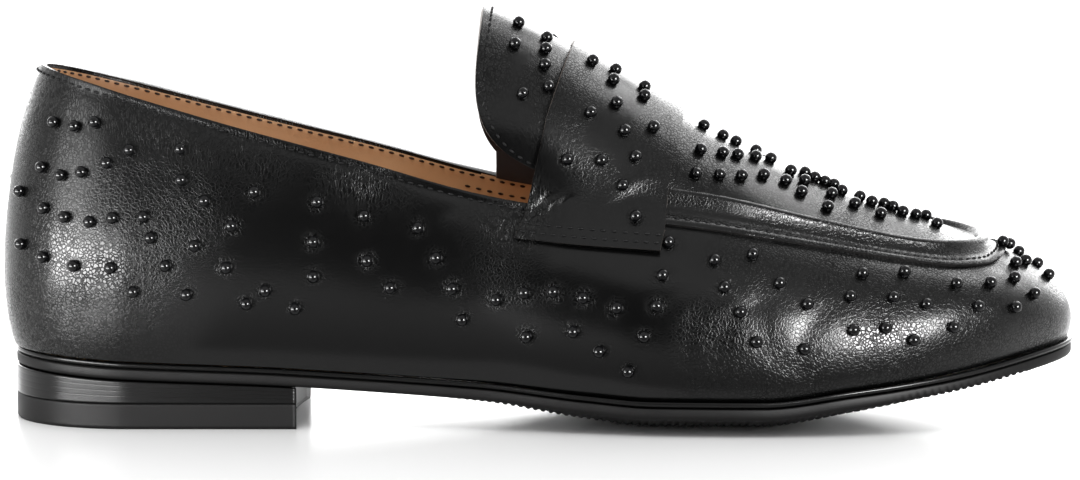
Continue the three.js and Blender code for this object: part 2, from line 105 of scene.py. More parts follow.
camera = place_object("camera", bpy.data.cameras.new("camera"))
camera.data.sensor_width = SENSOR
camera.data.lens = FOCAL_PIXELS / PHOTO_WIDTH * SENSOR
camera.data.clip_start = NEAREST_SEEN
camera.location = CAMERA_PLACE * MM
camera.rotation_euler = Vector((CAMERA_AIM - CAMERA_PLACE).tolist()).to_track_quat("-Z", "Y").to_euler()
bpy.context.scene.camera = camera
bpy.context.scene.view_settings.view_transform = "Standard"

for light_name, place, aim, size, radiance, seen_in in (
    ("low left box", (-0.241, -0.170, 0.036), (-0.115, -0.025, 0.036), (0.23, 0.045), 42.0, "gloss"),
    ("tall left box", (-0.439, -0.255, 0.14), (-0.115, -0.02, 0.06), (0.26, 0.26), 6.5, "gloss"),
    ("right box", (0.385, -0.555, 0.145), (0.09, -0.03, 0.03), (0.26, 0.24), 75.0, "gloss"),
    ("back box", (0.0, 0.75, 0.30), (0.0, 0.0, 0.0), (1.4, 0.45), 4.5, "all"),
    ("top box", (0.256, 0.176, 0.415), (0.07, 0.0, 0.06), (0.26, 0.22), 5.0, "gloss"),
    ("ceiling", (0.0, -0.5, 1.6), (0.0, -0.1, 0.0), (1.6, 1.2), 2.4, "matt"),
):
    lamp = bpy.data.lights.new(light_name, "AREA")
    lamp.shape = "RECTANGLE"
    lamp.size, lamp.size_y = size
    lamp.energy = radiance * math.pi * size[0] * size[1]
    holder = place_object(light_name, lamp)
    holder.location = place
    holder.rotation_euler = (Vector(aim) - Vector(place)).to_track_quat("-Z", "Y").to_euler()
    holder.visible_camera = False
    holder.visible_glossy = seen_in != "matt"
    holder.visible_diffuse = seen_in != "gloss"

room = bpy.data.worlds.new("white room, brightest behind")
room.use_nodes = True
room.node_tree.nodes.clear()
direction = add(room.node_tree, "ShaderNodeTexCoord").outputs["Generated"]
towards_back = add(room.node_tree, "ShaderNodeSeparateXYZ", {"Vector": direction}).outputs["Y"]
brightness = remapped(room.node_tree, towards_back, *ROOM_TURNS, ROOM_FRONT, ROOM_BACK, "SMOOTHSTEP")
background = add(
    room.node_tree, "ShaderNodeBackground", {"Color": (1, 1, 1, 1), "Strength": brightness}
).outputs["Background"]
add(room.node_tree, "ShaderNodeOutputWorld", {"Surface": background})
bpy.context.scene.world = room


def new_material(name):
    """A material and its empty tree."""
    material = bpy.data.materials.new(name)
    material.use_nodes = True
    material.node_tree.nodes.clear()
    return material, material.node_tree


def plain_material(name, one_sided=False, **settings):
    """A material whose surface has the same finish all over. From behind, a one-sided one is clear."""
    material, tree = new_material(name)
    inputs = {key.replace("_", " "): value for key, value in settings.items()}
    shade = add(tree, "ShaderNodeBsdfPrincipled", inputs).outputs["BSDF"]
    if one_sided:
        behind = add(tree, "ShaderNodeNewGeometry").outputs["Backfacing"]
        clear = add(tree, "ShaderNodeBsdfTransparent").outputs["BSDF"]
        shade = add(tree, "ShaderNodeMixShader", {0: behind, 1: shade, 2: clear}).outputs["Shader"]
    add(tree, "ShaderNodeOutputMaterial", {"Surface": shade})
    return material


def stage_plane(name, corners, material):
    """A flat thing of the studio, which isn't part of the shoe."""
    mesh = bpy.data.meshes.new(name)
    mesh.from_pydata(corners, [], [(0, 1, 2, 3)])
    mesh.materials.append(material)
    plane = place_object(name, mesh)
    return plane


reach = TABLE_SIZE / 2
stage_plane(
    "table",
    [(-reach, -reach, 0), (reach, -reach, 0), (reach, reach, 0), (-reach, reach, 0)],
    plain_material(
        "white polished acrylic", Base_Color=linear("#f7f7f7"), Roughness=0.22, Specular_IOR_Level=0.14
    ),
)
black_card = stage_plane(
    "black_card",
    [
        (CARD_LEFT, -CARD_DISTANCE, 0),
        (CARD_RIGHT, -CARD_DISTANCE, 0),
        (CARD_RIGHT, -CARD_DISTANCE, CARD_HEIGHT),
        (CARD_LEFT, -CARD_DISTANCE, CARD_HEIGHT),
    ],
    plain_material("black velvet card", Base_Color=linear("#050505"), Roughness=1.0),
)
grey_card = stage_plane(
    "grey_card",
    [
        (GREY_LEFT, -CARD_DISTANCE, GREY_RISE),
        (GREY_RIGHT, -CARD_DISTANCE, GREY_RISE),
        (GREY_RIGHT, -GREY_NEAR, GREY_RISE),
        (GREY_LEFT, -GREY_NEAR, GREY_RISE),
    ],
    plain_material("grey paper card", one_sided=True, Base_Color=linear("#a0a0a0"), Roughness=1.0),
)
for card in (black_card, grey_card):
    for ray in ("camera", "diffuse", "shadow", "transmission", "volume_scatter"):
        setattr(card, "visible_" + ray, False)

# The last: the wooden foot that the shoe is made on. Its lines give every piece its shape. Tables
# hold shares: along of the length, outer and inner of half the ball width, heights of the collar's.
LENGTH = 260.0
HALF_BALL = 45.0
HEEL_RISE = 13.5
TOE_SPRING = 14.9
TREAD_CROWN = 4.0
COLLAR_HEIGHT = 85.5
TONGUE_HEIGHT = 99.3
OUTSOLE_THICKNESS = 2.6
MIDSOLE_THICKNESS = 1.2
GAP = 0.3
SOLE_STACK = OUTSOLE_THICKNESS + MIDSOLE_THICKNESS + 2 * GAP
WALL = 1.8
FLAT_SHARE = 0.45
CROWN_LIMIT = 1.15


def table(names, *rows):
    """Rows of numbers as one array for each named column."""
    return dict(zip(names.split(), np.array(rows, float).T))


def rows(columns):
    """The rows of a table again, each with its names."""
    return [dict(zip(columns, values)) for values in zip(*columns.values())]


def column(columns, name):
    """Smooth interpolation of one column over the along column, without overshoot."""
    x = columns["along"]
    y = columns[name]
    slope = np.diff(y) / np.diff(x)
    before, after = slope[:-1], slope[1:]
    same_sign = before * after > 0
    inner = np.where(same_sign, 2 * before * after / np.where(same_sign, before + after, 1), 0)
    tangent = np.concatenate([slope[:1], inner, slope[-1:]])

    def value(at):
        at = np.asarray(at, float)
        i = np.clip(np.searchsorted(x, at, side="right") - 1, 0, len(x) - 2)
        h = x[i + 1] - x[i]
        t = (at - x[i]) / h
        s = np.clip(t, 0, 1)
        curve = (
            (2 * s**3 - 3 * s**2 + 1) * y[i]
            + (s**3 - 2 * s**2 + s) * h * tangent[i]
            + (3 * s**2 - 2 * s**3) * y[i + 1]
            + (s**3 - s**2) * h * tangent[i + 1]
        )
        return curve + np.minimum(t, 0) * h * tangent[i] + np.maximum(t - 1, 0) * h * tangent[i + 1]

    return value


SOLE_PROFILE = table(
    "along heel toe crown",
    (0.0, 1.0, 0.0, 0.0),
    (0.13, 0.86, 0.0, 0.0),
    (0.28, 0.74, 0.0, 0.0),
    (0.45, 0.4, 0.0, 0.5),
    (0.54, 0.12, 0.0, 0.85),
    (0.6, 0.0, 0.0, 1.0),
    (0.7, 0.0, 0.0, 1.0),
    (0.78, 0.0, 0.21, 0.85),
    (0.86, 0.0, 0.52, 0.5),
    (0.95, 0.0, 0.87, 0.15),
    (1.0, 0.0, 1.0, 0.0),
)
FEATHER_PLAN = table(
    "along outer inner",
    (0.0, 0.64, 0.64),
    (0.12, 0.64, 0.64),
    (0.25, 0.64, 0.61),
    (0.35, 0.66, 0.57),
    (0.44, 0.7, 0.58),
    (0.54, 0.82, 0.71),
    (0.62, 0.91, 0.86),
    (0.69, 0.93, 0.93),
    (0.75, 0.91, 0.955),
    (0.81, 0.88, 0.945),
    (1.0, 0.76, 0.93),
)
EDGE_PLAN = table(
    "along outer inner height tilt",
    (0.037, 0.49, 0.49, 1.0, 0.0),
    (0.09, 0.51, 0.51, 0.955, 0.0),
    (0.135, 0.545, 0.545, 0.916, 0.005),
    (0.23, 0.61, 0.61, 0.836, 0.01),
    (0.345, 0.635, 0.635, 0.745, 0.015),
    (0.43, 0.65, 0.65, 0.673, 0.018),
    (0.48, 0.665, 0.665, 0.64, 0.015),
    (0.61, 0.71, 0.735, 0.583, 0.005),
    (0.66, 0.71, 0.755, 0.562, 0.002),
    (0.755, 0.665, 0.745, 0.512, 0.0),
    (0.85, 0.58, 0.7, 0.464, 0.0),
    (0.885, 0.53, 0.67, 0.452, 0.0),
    (0.908, 0.49, 0.64, 0.451, 0.0),
    (0.923, 0.47, 0.63, 0.463, 0.0),
    (0.931, 0.46, 0.62, 0.478, 0.0),
)
SHOULDER_PLAN = table(
    "along outer inner height tilt fullness",
    (0.43, 0.63, 0.63, 0.725, 0.0, 0.5),
    (0.5, 0.64, 0.645, 0.719, 0.0, 0.5),
    (0.577, 0.62, 0.655, 0.68, 0.0, 0.6),
    (0.615, 0.62, 0.665, 0.668, 0.0, 0.72),
    (0.66, 0.62, 0.675, 0.648, 0.0, 0.85),
    (0.755, 0.575, 0.66, 0.586, 0.01, 1.0),
    (0.85, 0.49, 0.61, 0.533, 0.025, 1.0),
    (0.92, 0.36, 0.54, 0.512, 0.025, 1.0),
)
CREST = table(
    "along height",
    (0.42, 1.033),
    (0.448, 1.0),
    (0.505, 0.934),
    (0.56, 0.849),
    (0.615, 0.763),
    (0.66, 0.688),
    (0.725, 0.611),
    (0.79, 0.542),
    (0.85, 0.488),
    (0.912, 0.428),
)
RIB_SHAPE = table(
    "along low_out low_up high_out high_down",
    (0.01, 0.1, 0.18, 0.21, 0.345),
    (0.13, 0.115, 0.2, 0.15, 0.35),
    (0.38, 0.1, 0.24, 0.1, 0.35),
    (0.52, 0.11, 0.23, 0.18, 0.3),
    (0.69, 0.11, 0.25, 0.255, 0.23),
    (0.85, 0.09, 0.28, 0.28, 0.28),
    (0.996, 0.06, 0.3, 0.365, 0.35),
)


def closed_line(plan, back, front, back_round, front_round, blunt):
    """A line round the shoe: its plan's columns, where it ends, and how its two ends are rounded."""
    line = dict(back=back, front=front, back_round=back_round, front_round=front_round, blunt=blunt)
    return line | {name: column(plan, name) for name in plan if name != "along"}


FEATHER = closed_line(FEATHER_PLAN, 0.01, 0.996, 0.118, 0.24, 1.9)
EDGE = closed_line(EDGE_PLAN, 0.037, 0.931, 0.085, 0.078, 2.3)
SHOULDER = closed_line(SHOULDER_PLAN, 0.049, 0.92, 0.085, 0.07, 2.3)
HEEL_BLUNT = 2.0
SEAM_LEAD = 0.065
SEAM_LEAD_SPAN = 0.42
NEARBY = 0.01
RING_TABLE_STEPS = 4000
sole_heel, sole_toe, sole_crown = (column(SOLE_PROFILE, name) for name in ("heel", "toe", "crown"))
crest_height = column(CREST, "height")
rib = {name: column(RIB_SHAPE, name) for name in RIB_SHAPE if name != "along"}


def along_at(x):
    """Share of the length at a distance from the middle."""
    return x / LENGTH + 0.5


def underside(x, y):
    """Height of the sole's underside over a point of the plan."""
    along = along_at(x)
    half = HALF_BALL * np.where(y < 0, FEATHER["outer"](along), FEATHER["inner"](along))
    beyond = np.maximum(0, np.abs(y) / half - FLAT_SHARE) / (1 - FLAT_SHARE)
    middle = HEEL_RISE * sole_heel(along) + TOE_SPRING * sole_toe(along)
    return middle + TREAD_CROWN * sole_crown(along) * np.minimum(beyond, CROWN_LIMIT) ** 2


def plan_point(line, angle):
    """x and y of a closed line at a ring angle: 0 at the heel, pi at the toe, outer side between."""
    side = np.where(np.sin(angle) >= 0, -1, 1)
    share = (1 - np.cos(angle)) / 2
    if line is not FEATHER:
        left = np.clip((1 - share) / SEAM_LEAD_SPAN, 0, 1)
        bell = 16 * left**2 * (1 - left) ** 2
        share = share + SEAM_LEAD * bell
    along = line["back"] + (line["front"] - line["back"]) * share
    heel_part = np.clip((along - line["back"]) / line["back_round"], 0, 1)
    toe_part = np.clip((line["front"] - along) / line["front_round"], 0, 1)
    roundness = np.sqrt(1 - (1 - heel_part) ** HEEL_BLUNT) * np.sqrt(1 - (1 - toe_part) ** line["blunt"])
    outer = HALF_BALL * line["outer"](along)
    inner = HALF_BALL * line["inner"](along)
    return (along - 0.5) * LENGTH, (inner - outer) / 2 + side * roundness * (inner + outer) / 2


def outward(line, angle):
    """Unit vectors square to a closed line in plan."""
    x0, y0 = plan_point(line, angle - NEARBY)
    x1, y1 = plan_point(line, angle + NEARBY)
    size = np.hypot(x1 - x0, y1 - y0)
    return np.stack([(y1 - y0) / size, (x0 - x1) / size, np.zeros_like(size)], -1)


def line_height(line, x, y):
    """Height of a top line, or of what it would be at another place across."""
    along = along_at(x)
    width = HALF_BALL * (line["outer"](along) + line["inner"](along))
    return COLLAR_HEIGHT * (line["height"](along) + line["tilt"](along) * y / width)


def line_point(line, angle):
    """The point of a closed line at a ring angle."""
    x, y = plan_point(line, angle)
    if line is FEATHER:
        z = underside(x, y) + SOLE_STACK
    else:
        z = line_height(line, x, y)
    return np.stack([x, y, z], -1)


UP = np.array([0.0, 0.0, 1.0])


def cubic(s, start, start_guide, end_guide, end):
    """A point of a curve that leaves its start and meets its end in line with their guides."""
    return (
        (1 - s) ** 3 * start
        + 3 * (1 - s) ** 2 * s * start_guide
        + 3 * (1 - s) * s**2 * end_guide
        + s**3 * end
    )


def wall_point(angle, t):
    """The upper's wall: t is 0 at the sole and 1 at the top edge."""
    angle, t = np.broadcast_arrays(np.asarray(angle, float), np.asarray(t, float))
    low = line_point(FEATHER, angle)
    high = line_point(EDGE, angle)
    along = along_at(low[..., 0])
    rise = (high[..., 2] - low[..., 2])[..., None]
    shape = {name: value(along)[..., None] for name, value in rib.items()}
    low_guide = low + outward(FEATHER, angle) * HALF_BALL * shape["low_out"] + UP * rise * shape["low_up"]
    high_guide = high + outward(EDGE, angle) * HALF_BALL * shape["high_out"] - UP * rise * shape["high_down"]
    return cubic(t[..., None], low, low_guide, high_guide, high)


def arch_point(angle, across, inset=0.0, drop=0.0):
    """The arch from shoulder to shoulder: across is -1 at the outer side, 0 at the crest and 1 at the
    inner side."""
    angle, across, drop = np.broadcast_arrays(np.asarray(angle, float), across, drop)
    foot = [line_point(SHOULDER, a) - inset * outward(SHOULDER, a) for a in (angle, 2 * np.pi - angle)]
    x = (foot[0][..., 0] + foot[1][..., 0]) / 2
    along = along_at(x)
    half = (foot[1][..., 1] - foot[0][..., 1]) / 2
    full_half = HALF_BALL * (SHOULDER["outer"](along) + SHOULDER["inner"](along)) / 2 - inset
    turn = across * np.pi / 2
    y = (foot[0][..., 1] + foot[1][..., 1]) / 2 + half * np.sin(turn)
    base = line_height(SHOULDER, x, y) - drop
    middle = COLLAR_HEIGHT * SHOULDER["height"](along) - drop
    rise = (TONGUE_HEIGHT * crest_height(along) - middle) * np.minimum(1, (half / full_half) ** 2)
    share = np.maximum(0, np.cos(turn)) ** (2 * SHOULDER["fullness"](along))
    return np.stack([x, y, base + rise * share], -1)


half_ring = np.linspace(0, np.pi, RING_TABLE_STEPS + 1)
half_ring_reach = plan_point(EDGE, half_ring)[0] + LENGTH / 2


def angle_at(from_back):
    """The ring angle at which the top edge reaches a distance from the back of the shoe."""
    return np.interp(from_back, half_ring_reach, half_ring)


# Black leather: calf with a polished resin finish that has crackled into a fine net, which shows as
# dull lines where light falls. Below the topline the net is drawn out into hanging wrinkles. Dyed
# leathers without that finish have a soft pebble grain.
BLACK_LEATHER = "#040404"
CRACKLE_CELL = 0.85
CRACKLE_LINE = 0.2
CRACKLE_DEPTH = 0.05
CRACKLE_DRIFT = 0.75
HANGING_STRETCH = (1.25, 1.25, 0.3)
FACET_SIZE = 1.3
FACET_DEPTH = 0.06
FOLD_SIZE = 5.0
FOLD_DEPTH = 0.12
PORE = 0.3
PORE_DEPTH = 0.008
PORE_STRENGTH = 0.6
PATCHES_PER_METRE = 90.0
PATCH_EDGE = (0.35, 0.65)
LEAST_IN_PATCH = 0.55
CLOUDS_PER_METRE = 60.0
PEBBLE_STRENGTH = 0.5
POLISHED = 0.19
CRACKED = 0.4
TOP_SHINE = 0.5
CRACK_SHINE = 0.08
POLISH_IOR = 1.36
DYED_IOR = 1.33

crackled_leather, tree = new_material("crackled black calf")
place = add(tree, "ShaderNodeTexCoord").outputs["Object"]
creased, hanging = (
    add(tree, "ShaderNodeAttribute", attribute_name=name).outputs["Fac"] for name in ("creased", "hanging")
)
drift = add(tree, "ShaderNodeTexNoise", {"Vector": place, "Scale": 0.5 / (CRACKLE_CELL * MM), "Detail": 3.0})
warped = add(
    tree,
    "ShaderNodeVectorMath",
    {0: drift.outputs["Color"], 1: (2 * CRACKLE_DRIFT * MM,) * 3, 2: place},
    operation="MULTIPLY_ADD",
).outputs["Vector"]
nets = []
for stretch in ((1.0, 1.0, 1.0), HANGING_STRETCH):
    stretched = add(
        tree, "ShaderNodeVectorMath", {0: warped, 1: stretch}, operation="MULTIPLY"
    ).outputs["Vector"]
    cells = add(
        tree,
        "ShaderNodeTexVoronoi",
        {"Vector": stretched, "Scale": 1 / (CRACKLE_CELL * MM)},
        feature="DISTANCE_TO_EDGE",
    )
    nets.append(remapped(tree, cells.outputs["Distance"], 0.0, CRACKLE_LINE, 0.0, 1.0, "SMOOTHSTEP"))
net = add(tree, "ShaderNodeMix", {"Factor": hanging, 2: nets[0], 3: nets[1]}, data_type="FLOAT").outputs[0]
patches = add(
    tree,
    "ShaderNodeTexNoise",
    {"Vector": place, "Scale": PATCHES_PER_METRE, "Detail": 3.0, "Roughness": 0.6},
).outputs["Fac"]
patchy = remapped(tree, patches, *PATCH_EDGE, LEAST_IN_PATCH, 1.0)
crackled = add(tree, "ShaderNodeMath", {0: patchy, 1: creased}, operation="MULTIPLY").outputs["Value"]
facets, folds, pores = (
    add(
        tree,
        "ShaderNodeTexNoise",
        {"Vector": warped, "Scale": 1 / (size * MM), "Detail": detail, "Roughness": 0.55},
    ).outputs["Fac"]
    for size, detail in ((FACET_SIZE, 2.0), (FOLD_SIZE, 4.0), (PORE, 2.0))
)
normal = None
for height, strength, depth in (
    (folds, crackled, FOLD_DEPTH),
    (facets, crackled, FACET_DEPTH),
    (net, crackled, CRACKLE_DEPTH),
    (pores, PORE_STRENGTH, PORE_DEPTH),
):
    bump = add(tree, "ShaderNodeBump", {"Height": height, "Strength": strength, "Distance": depth * MM})
    if normal:
        tree.links.new(normal, bump.inputs["Normal"])
    normal = bump.outputs["Normal"]
whole = add(tree, "ShaderNodeMath", {0: 1.0, 1: crackled}, operation="SUBTRACT").outputs["Value"]
unbroken = add(tree, "ShaderNodeMath", {0: net, 1: whole}, operation="MAXIMUM").outputs["Value"]
polish, shine = (
    remapped(tree, unbroken, 0.0, 1.0, in_crack, on_top)
    for in_crack, on_top in ((CRACKED, POLISHED), (CRACK_SHINE, TOP_SHINE))
)


def surface(tree, colour, roughness, shine, normal, **settings):
    """Ends a tree in its surface."""
    inputs = {"Base Color": colour, "Roughness": roughness, "Specular IOR Level": shine, "Normal": normal}
    shade = add(tree, "ShaderNodeBsdfPrincipled", inputs | settings).outputs["BSDF"]
    add(tree, "ShaderNodeOutputMaterial", {"Surface": shade})


surface(tree, linear(BLACK_LEATHER), polish, shine, normal, IOR=POLISH_IOR)


def plain_leather(name, colour, dark, roughness, cell, depth, shine=0.5):
    """A dyed finish with a soft pebble grain and cloudy colour. cell and depth are the grain's."""
    material, tree = new_material(name)
    place = add(tree, "ShaderNodeTexCoord").outputs["Object"]
    clouds = add(tree, "ShaderNodeTexNoise", {"Vector": place, "Scale": CLOUDS_PER_METRE, "Detail": 4.0})
    tone = add(
        tree,
        "ShaderNodeMix",
        {"Factor": clouds.outputs["Fac"], 6: linear(dark), 7: linear(colour)},
        data_type="RGBA",
    )
    pebbles = add(tree, "ShaderNodeTexVoronoi", {"Vector": place, "Scale": 1 / (cell * MM)})
    grain = add(
        tree,
        "ShaderNodeBump",
        {"Height": pebbles.outputs["Distance"], "Strength": PEBBLE_STRENGTH, "Distance": depth * MM},
    )
    surface(tree, tone.outputs[2], roughness, shine, grain.outputs["Normal"], IOR=DYED_IOR)
    return material


lining_leather = plain_leather("tan pigskin lining", "#cda57d", "#b58a61", 0.5, 0.6, 0.05)
# Dark brown lining for the tongue and the strap's back: brown leather made darker as painted shade under the
# tongue.
brown_lining_painted_shade = plain_leather("dark brown lining, painted shade", "#2c201b", "#211814", 0.5, 0.6, 0.05)
cut_edge = plain_leather("inked cut edge", "#1b1817", "#121010", 0.5, 0.4, 0.03)
raw_edge = plain_leather("raw cut edge", "#665c56", "#4e4641", 0.6, 0.4, 0.03)

# Upper: one piece of black leather round the heel and toe, lined in tan, open at the collar. Its
# topline is turned over and stitched, its foot is lasted under the insole, and it creases at the ball.
HANGING_REACH = 16.0
RING_STEPS = 420
WALL_STEPS = 72
EDGE_ROUND = 0.5
BEVEL_ANGLE = 60.0
BEVEL_SEGMENTS = 3
MERGE_DISTANCE = 1e-6
COLLAR_ROLL = 0.25
ROLL_WIDTH = 1.3
APRON_BEGINS = (0.5, 0.54)
FOLDS_END = 6.0
FOLD_BOW = 0.9
COLLAR_STITCH_IN = 1.7
STITCH_GROOVE = 0.09
GROOVE_WIDTH = 0.8
TURNED_OVER = 1.2
TURNED_STEPS = 3
LASTED_TO = 6.5
TURNED_UNDER = ((3.6, 0.08), (1.7, 0.2), (0.8, 0.22), (0.25, 0.16))
SOFT_FOLDS = table(
    "along up turn length width depth",
    (0.055, 0.27, 85.0, 0.06, 0.010, 0.22),
    (0.085, 0.26, 95.0, 0.05, 0.009, 0.20),
    (0.600, 0.33, 62.0, 0.09, 0.010, 0.16),
    (0.635, 0.30, 70.0, 0.10, 0.009, 0.20),
    (0.665, 0.31, 55.0, 0.08, 0.011, 0.24),
    (0.700, 0.28, 110.0, 0.09, 0.010, 0.26),
    (0.735, 0.27, 72.0, 0.08, 0.009, 0.22),
    (0.520, 0.52, 28.0, 0.06, 0.010, 0.10),
    (0.400, 0.56, 60.0, 0.07, 0.010, 0.12),
    (0.345, 0.60, 75.0, 0.06, 0.010, 0.12),
)
CREASED_ALL_OVER = 0.1
CREASED_SPOTS = table(
    "along up reach amount",
    (0.02, 0.85, 0.09, 0.9),
    (0.06, 0.55, 0.09, 1.0),
    (0.04, 0.30, 0.08, 1.0),
    (0.10, 0.40, 0.07, 1.0),
    (0.14, 0.75, 0.09, 0.75),
    (0.24, 0.80, 0.06, 0.6),
    (0.34, 0.72, 0.05, 0.6),
    (0.47, 0.55, 0.04, 0.8),
    (0.49, 0.62, 0.03, 1.0),
    (0.44, 1.05, 0.06, 0.9),
    (0.52, 0.95, 0.05, 0.9),
    (0.56, 0.70, 0.04, 0.5),
    (0.64, 0.80, 0.07, 0.9),
    (0.70, 0.50, 0.05, 0.8),
    (0.78, 0.50, 0.06, 1.0),
    (0.88, 0.45, 0.07, 1.0),
    (0.66, 0.22, 0.05, 0.8),
    (0.73, 0.18, 0.05, 0.9),
    (0.81, 0.28, 0.06, 1.0),
    (0.89, 0.28, 0.06, 0.9),
    (0.97, 0.28, 0.06, 0.8),
)


def smooth_share(value, low, high):
    """0 below low and 1 above high, with a smooth step between."""
    t = np.clip((value - low) / (high - low), 0, 1)
    return t * t * (3 - 2 * t)


def grid_normals(grid, ring=False):
    """Unit normals of a grid of points, pointing to the right of its rows."""
    if ring:
        wrapped = np.concatenate([grid[-2:-1], grid, grid[1:2]])
        down = (wrapped[2:] - wrapped[:-2]) / 2
    else:
        down = np.gradient(grid, axis=0)
    normal = np.cross(down, np.gradient(grid, axis=1))
    size = np.linalg.norm(normal, axis=-1, keepdims=True)
    return normal / np.maximum(size, 1e-9)


def grid_faces(down, across):
    """Quads between neighbouring points of a grid."""
    index = np.arange(down * across).reshape(down, across)
    quads = [index[:-1, :-1], index[1:, :-1], index[1:, 1:], index[:-1, 1:]]
    return np.stack(quads, -1).reshape(-1, 4)


def soft_folds(grid, folds):
    """Depth of the listed creases at each point of a grid, in millimetres. Both sides have them."""
    along = along_at(grid[..., 0])
    up = grid[..., 2] / LENGTH
    depth = np.zeros(grid.shape[:-1])
    for fold in rows(folds):
        turn = math.radians(fold["turn"])
        dx = along - fold["along"]
        dz = up - fold["up"] * COLLAR_HEIGHT / LENGTH
        across = -dx * math.sin(turn) + dz * math.cos(turn)
        length = dx * math.cos(turn) + dz * math.sin(turn)
        bow = across + FOLD_BOW * length**2 / fold["length"]
        trough = np.exp(-((bow / fold["width"]) ** 2))
        depth += fold["depth"] * trough * np.exp(-((length / fold["length"] * 2) ** 4))
    return depth


def creased_amount(points):
    """How strongly the finish has crackled at each point, from 0 to 1."""
    along = along_at(points[:, 0])
    up = points[:, 2] / LENGTH
    amount = np.full(len(points), CREASED_ALL_OVER)
    for spot in rows(CREASED_SPOTS):
        away = np.hypot(along - spot["along"], up - spot["up"] * COLLAR_HEIGHT / LENGTH)
        amount = np.maximum(amount, spot["amount"] * np.exp(-((away / spot["reach"]) ** 2)))
    return amount


def hanging_amount(points):
    """Share of the hanging wrinkles at each point: full just below the topline."""
    along = along_at(points[:, 0])
    below = COLLAR_HEIGHT * EDGE["height"](along) - points[:, 2]
    behind_strap = 1 - smooth_share(along, *APRON_BEGINS)
    return behind_strap * (1 - smooth_share(below, HANGING_REACH / 2, HANGING_REACH))


def link_mesh(name, points, faces, materials):
    """A new smooth piece. Points are in millimetres."""
    mesh = bpy.data.meshes.new(name)
    mesh.from_pydata((np.asarray(points).reshape(-1, 3) * MM).tolist(), [], np.asarray(faces).tolist())
    work = bmesh.new()
    work.from_mesh(mesh)
    bmesh.ops.remove_doubles(work, verts=work.verts, dist=MERGE_DISTANCE)
    work.to_mesh(mesh)
    work.free()
    for material in materials:
        mesh.materials.append(material)
    mesh.shade_smooth()
    return place_object(name, mesh)


def vertex_points(mesh):
    """The places of a mesh's vertices, in millimetres."""
    points = np.empty(3 * len(mesh.vertices))
    mesh.vertices.foreach_get("co", points)
    return points.reshape(-1, 3) / MM


def make_plain(piece):
    """Turns a piece with its modifiers into a plain mesh."""
    evaluated = piece.evaluated_get(bpy.context.evaluated_depsgraph_get())
    mesh = bpy.data.meshes.new_from_object(evaluated)
    piece.modifiers.clear()
    piece.data = mesh
    return mesh


def stand_for(piece, node):
    """A piece takes the place of a CAD node, which is hidden, and rides the shoe's body."""
    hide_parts(node)
    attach(piece, BODY)


def leather_piece(name, node, grid, thickness, materials, edge_round=EDGE_ROUND):
    """A piece of leather from the grid of its outer face. materials are those of its face, its back
    and its edge. It carries how creased it is, and how drawn out its creases are."""
    piece = link_mesh(name, grid, grid_faces(*grid.shape[:2]), materials)
    solid = piece.modifiers.new("thickness", "SOLIDIFY")
    solid.thickness = thickness * MM
    solid.offset = -1
    solid.use_even_offset = True
    solid.material_offset = 1
    solid.material_offset_rim = 2
    rounding = piece.modifiers.new("rounding", "BEVEL")
    rounding.width = edge_round * MM
    rounding.segments = BEVEL_SEGMENTS
    rounding.limit_method = "ANGLE"
    rounding.angle_limit = math.radians(BEVEL_ANGLE)
    rounding.material = 2
    mesh = make_plain(piece)
    points = vertex_points(mesh)
    for attribute, values in (("creased", creased_amount(points)), ("hanging", hanging_amount(points))):
        mesh.attributes.new(attribute, "FLOAT", "POINT").data.foreach_set("value", values)
    stand_for(piece, node)
    return piece


ring = np.mod(np.linspace(0, 2 * np.pi, RING_STEPS + 1), 2 * np.pi)
foot, topline = line_point(FEATHER, ring), line_point(EDGE, ring)
# The topmost rows mark off the leather that is turned over, so that it can be black inside too.
turned_share = TURNED_OVER / np.linalg.norm(topline - foot, axis=-1, keepdims=True)
up_the_wall = np.concatenate(
    [
        (1 - turned_share) * np.linspace(0, 1, WALL_STEPS + 1),
        1 - turned_share * np.linspace(1, 0, TURNED_STEPS + 1)[1:],
    ],
    axis=1,
)
upper_grid = wall_point(ring[:, None], up_the_wall)
lasted = []
for inset, fall in TURNED_UNDER:
    under = foot - outward(FEATHER, ring) * inset
    under[:, 2] = underside(under[:, 0], under[:, 1]) + SOLE_STACK - fall
    lasted.append(under)
upper_grid = np.concatenate([np.stack(lasted, 1), upper_grid], axis=1)
upper_normals = grid_normals(upper_grid, ring=True)
steps_up = np.linalg.norm(np.diff(upper_grid, axis=1), axis=-1)
from_top = np.concatenate(
    [np.cumsum(steps_up[:, ::-1], axis=1)[:, ::-1], np.zeros((RING_STEPS + 1, 1))], axis=1
)
behind_apron = 1 - smooth_share(along_at(upper_grid[..., 0]), *APRON_BEGINS)
collar = np.exp(-((from_top / ROLL_WIDTH) ** 4))
groove = np.exp(-(((from_top - COLLAR_STITCH_IN) / GROOVE_WIDTH) ** 2))
relief = (
    COLLAR_ROLL * (collar - 1)
    - STITCH_GROOVE * groove * behind_apron
    - soft_folds(upper_grid, SOFT_FOLDS) * np.clip(from_top / FOLDS_END, 0, 1)
)
upper_grid = upper_grid + upper_normals * relief[..., None]
upper = leather_piece(
    "upper_leather", "upper", upper_grid, WALL, [crackled_leather, lining_leather, crackled_leather]
)
for face in upper.data.polygons:
    x, y, z = np.array(face.center) / MM
    turned = line_height(EDGE, x, y) - z < TURNED_OVER or z - underside(x, y) < LASTED_TO
    if face.material_index == 1 and turned:
        face.material_index = 0

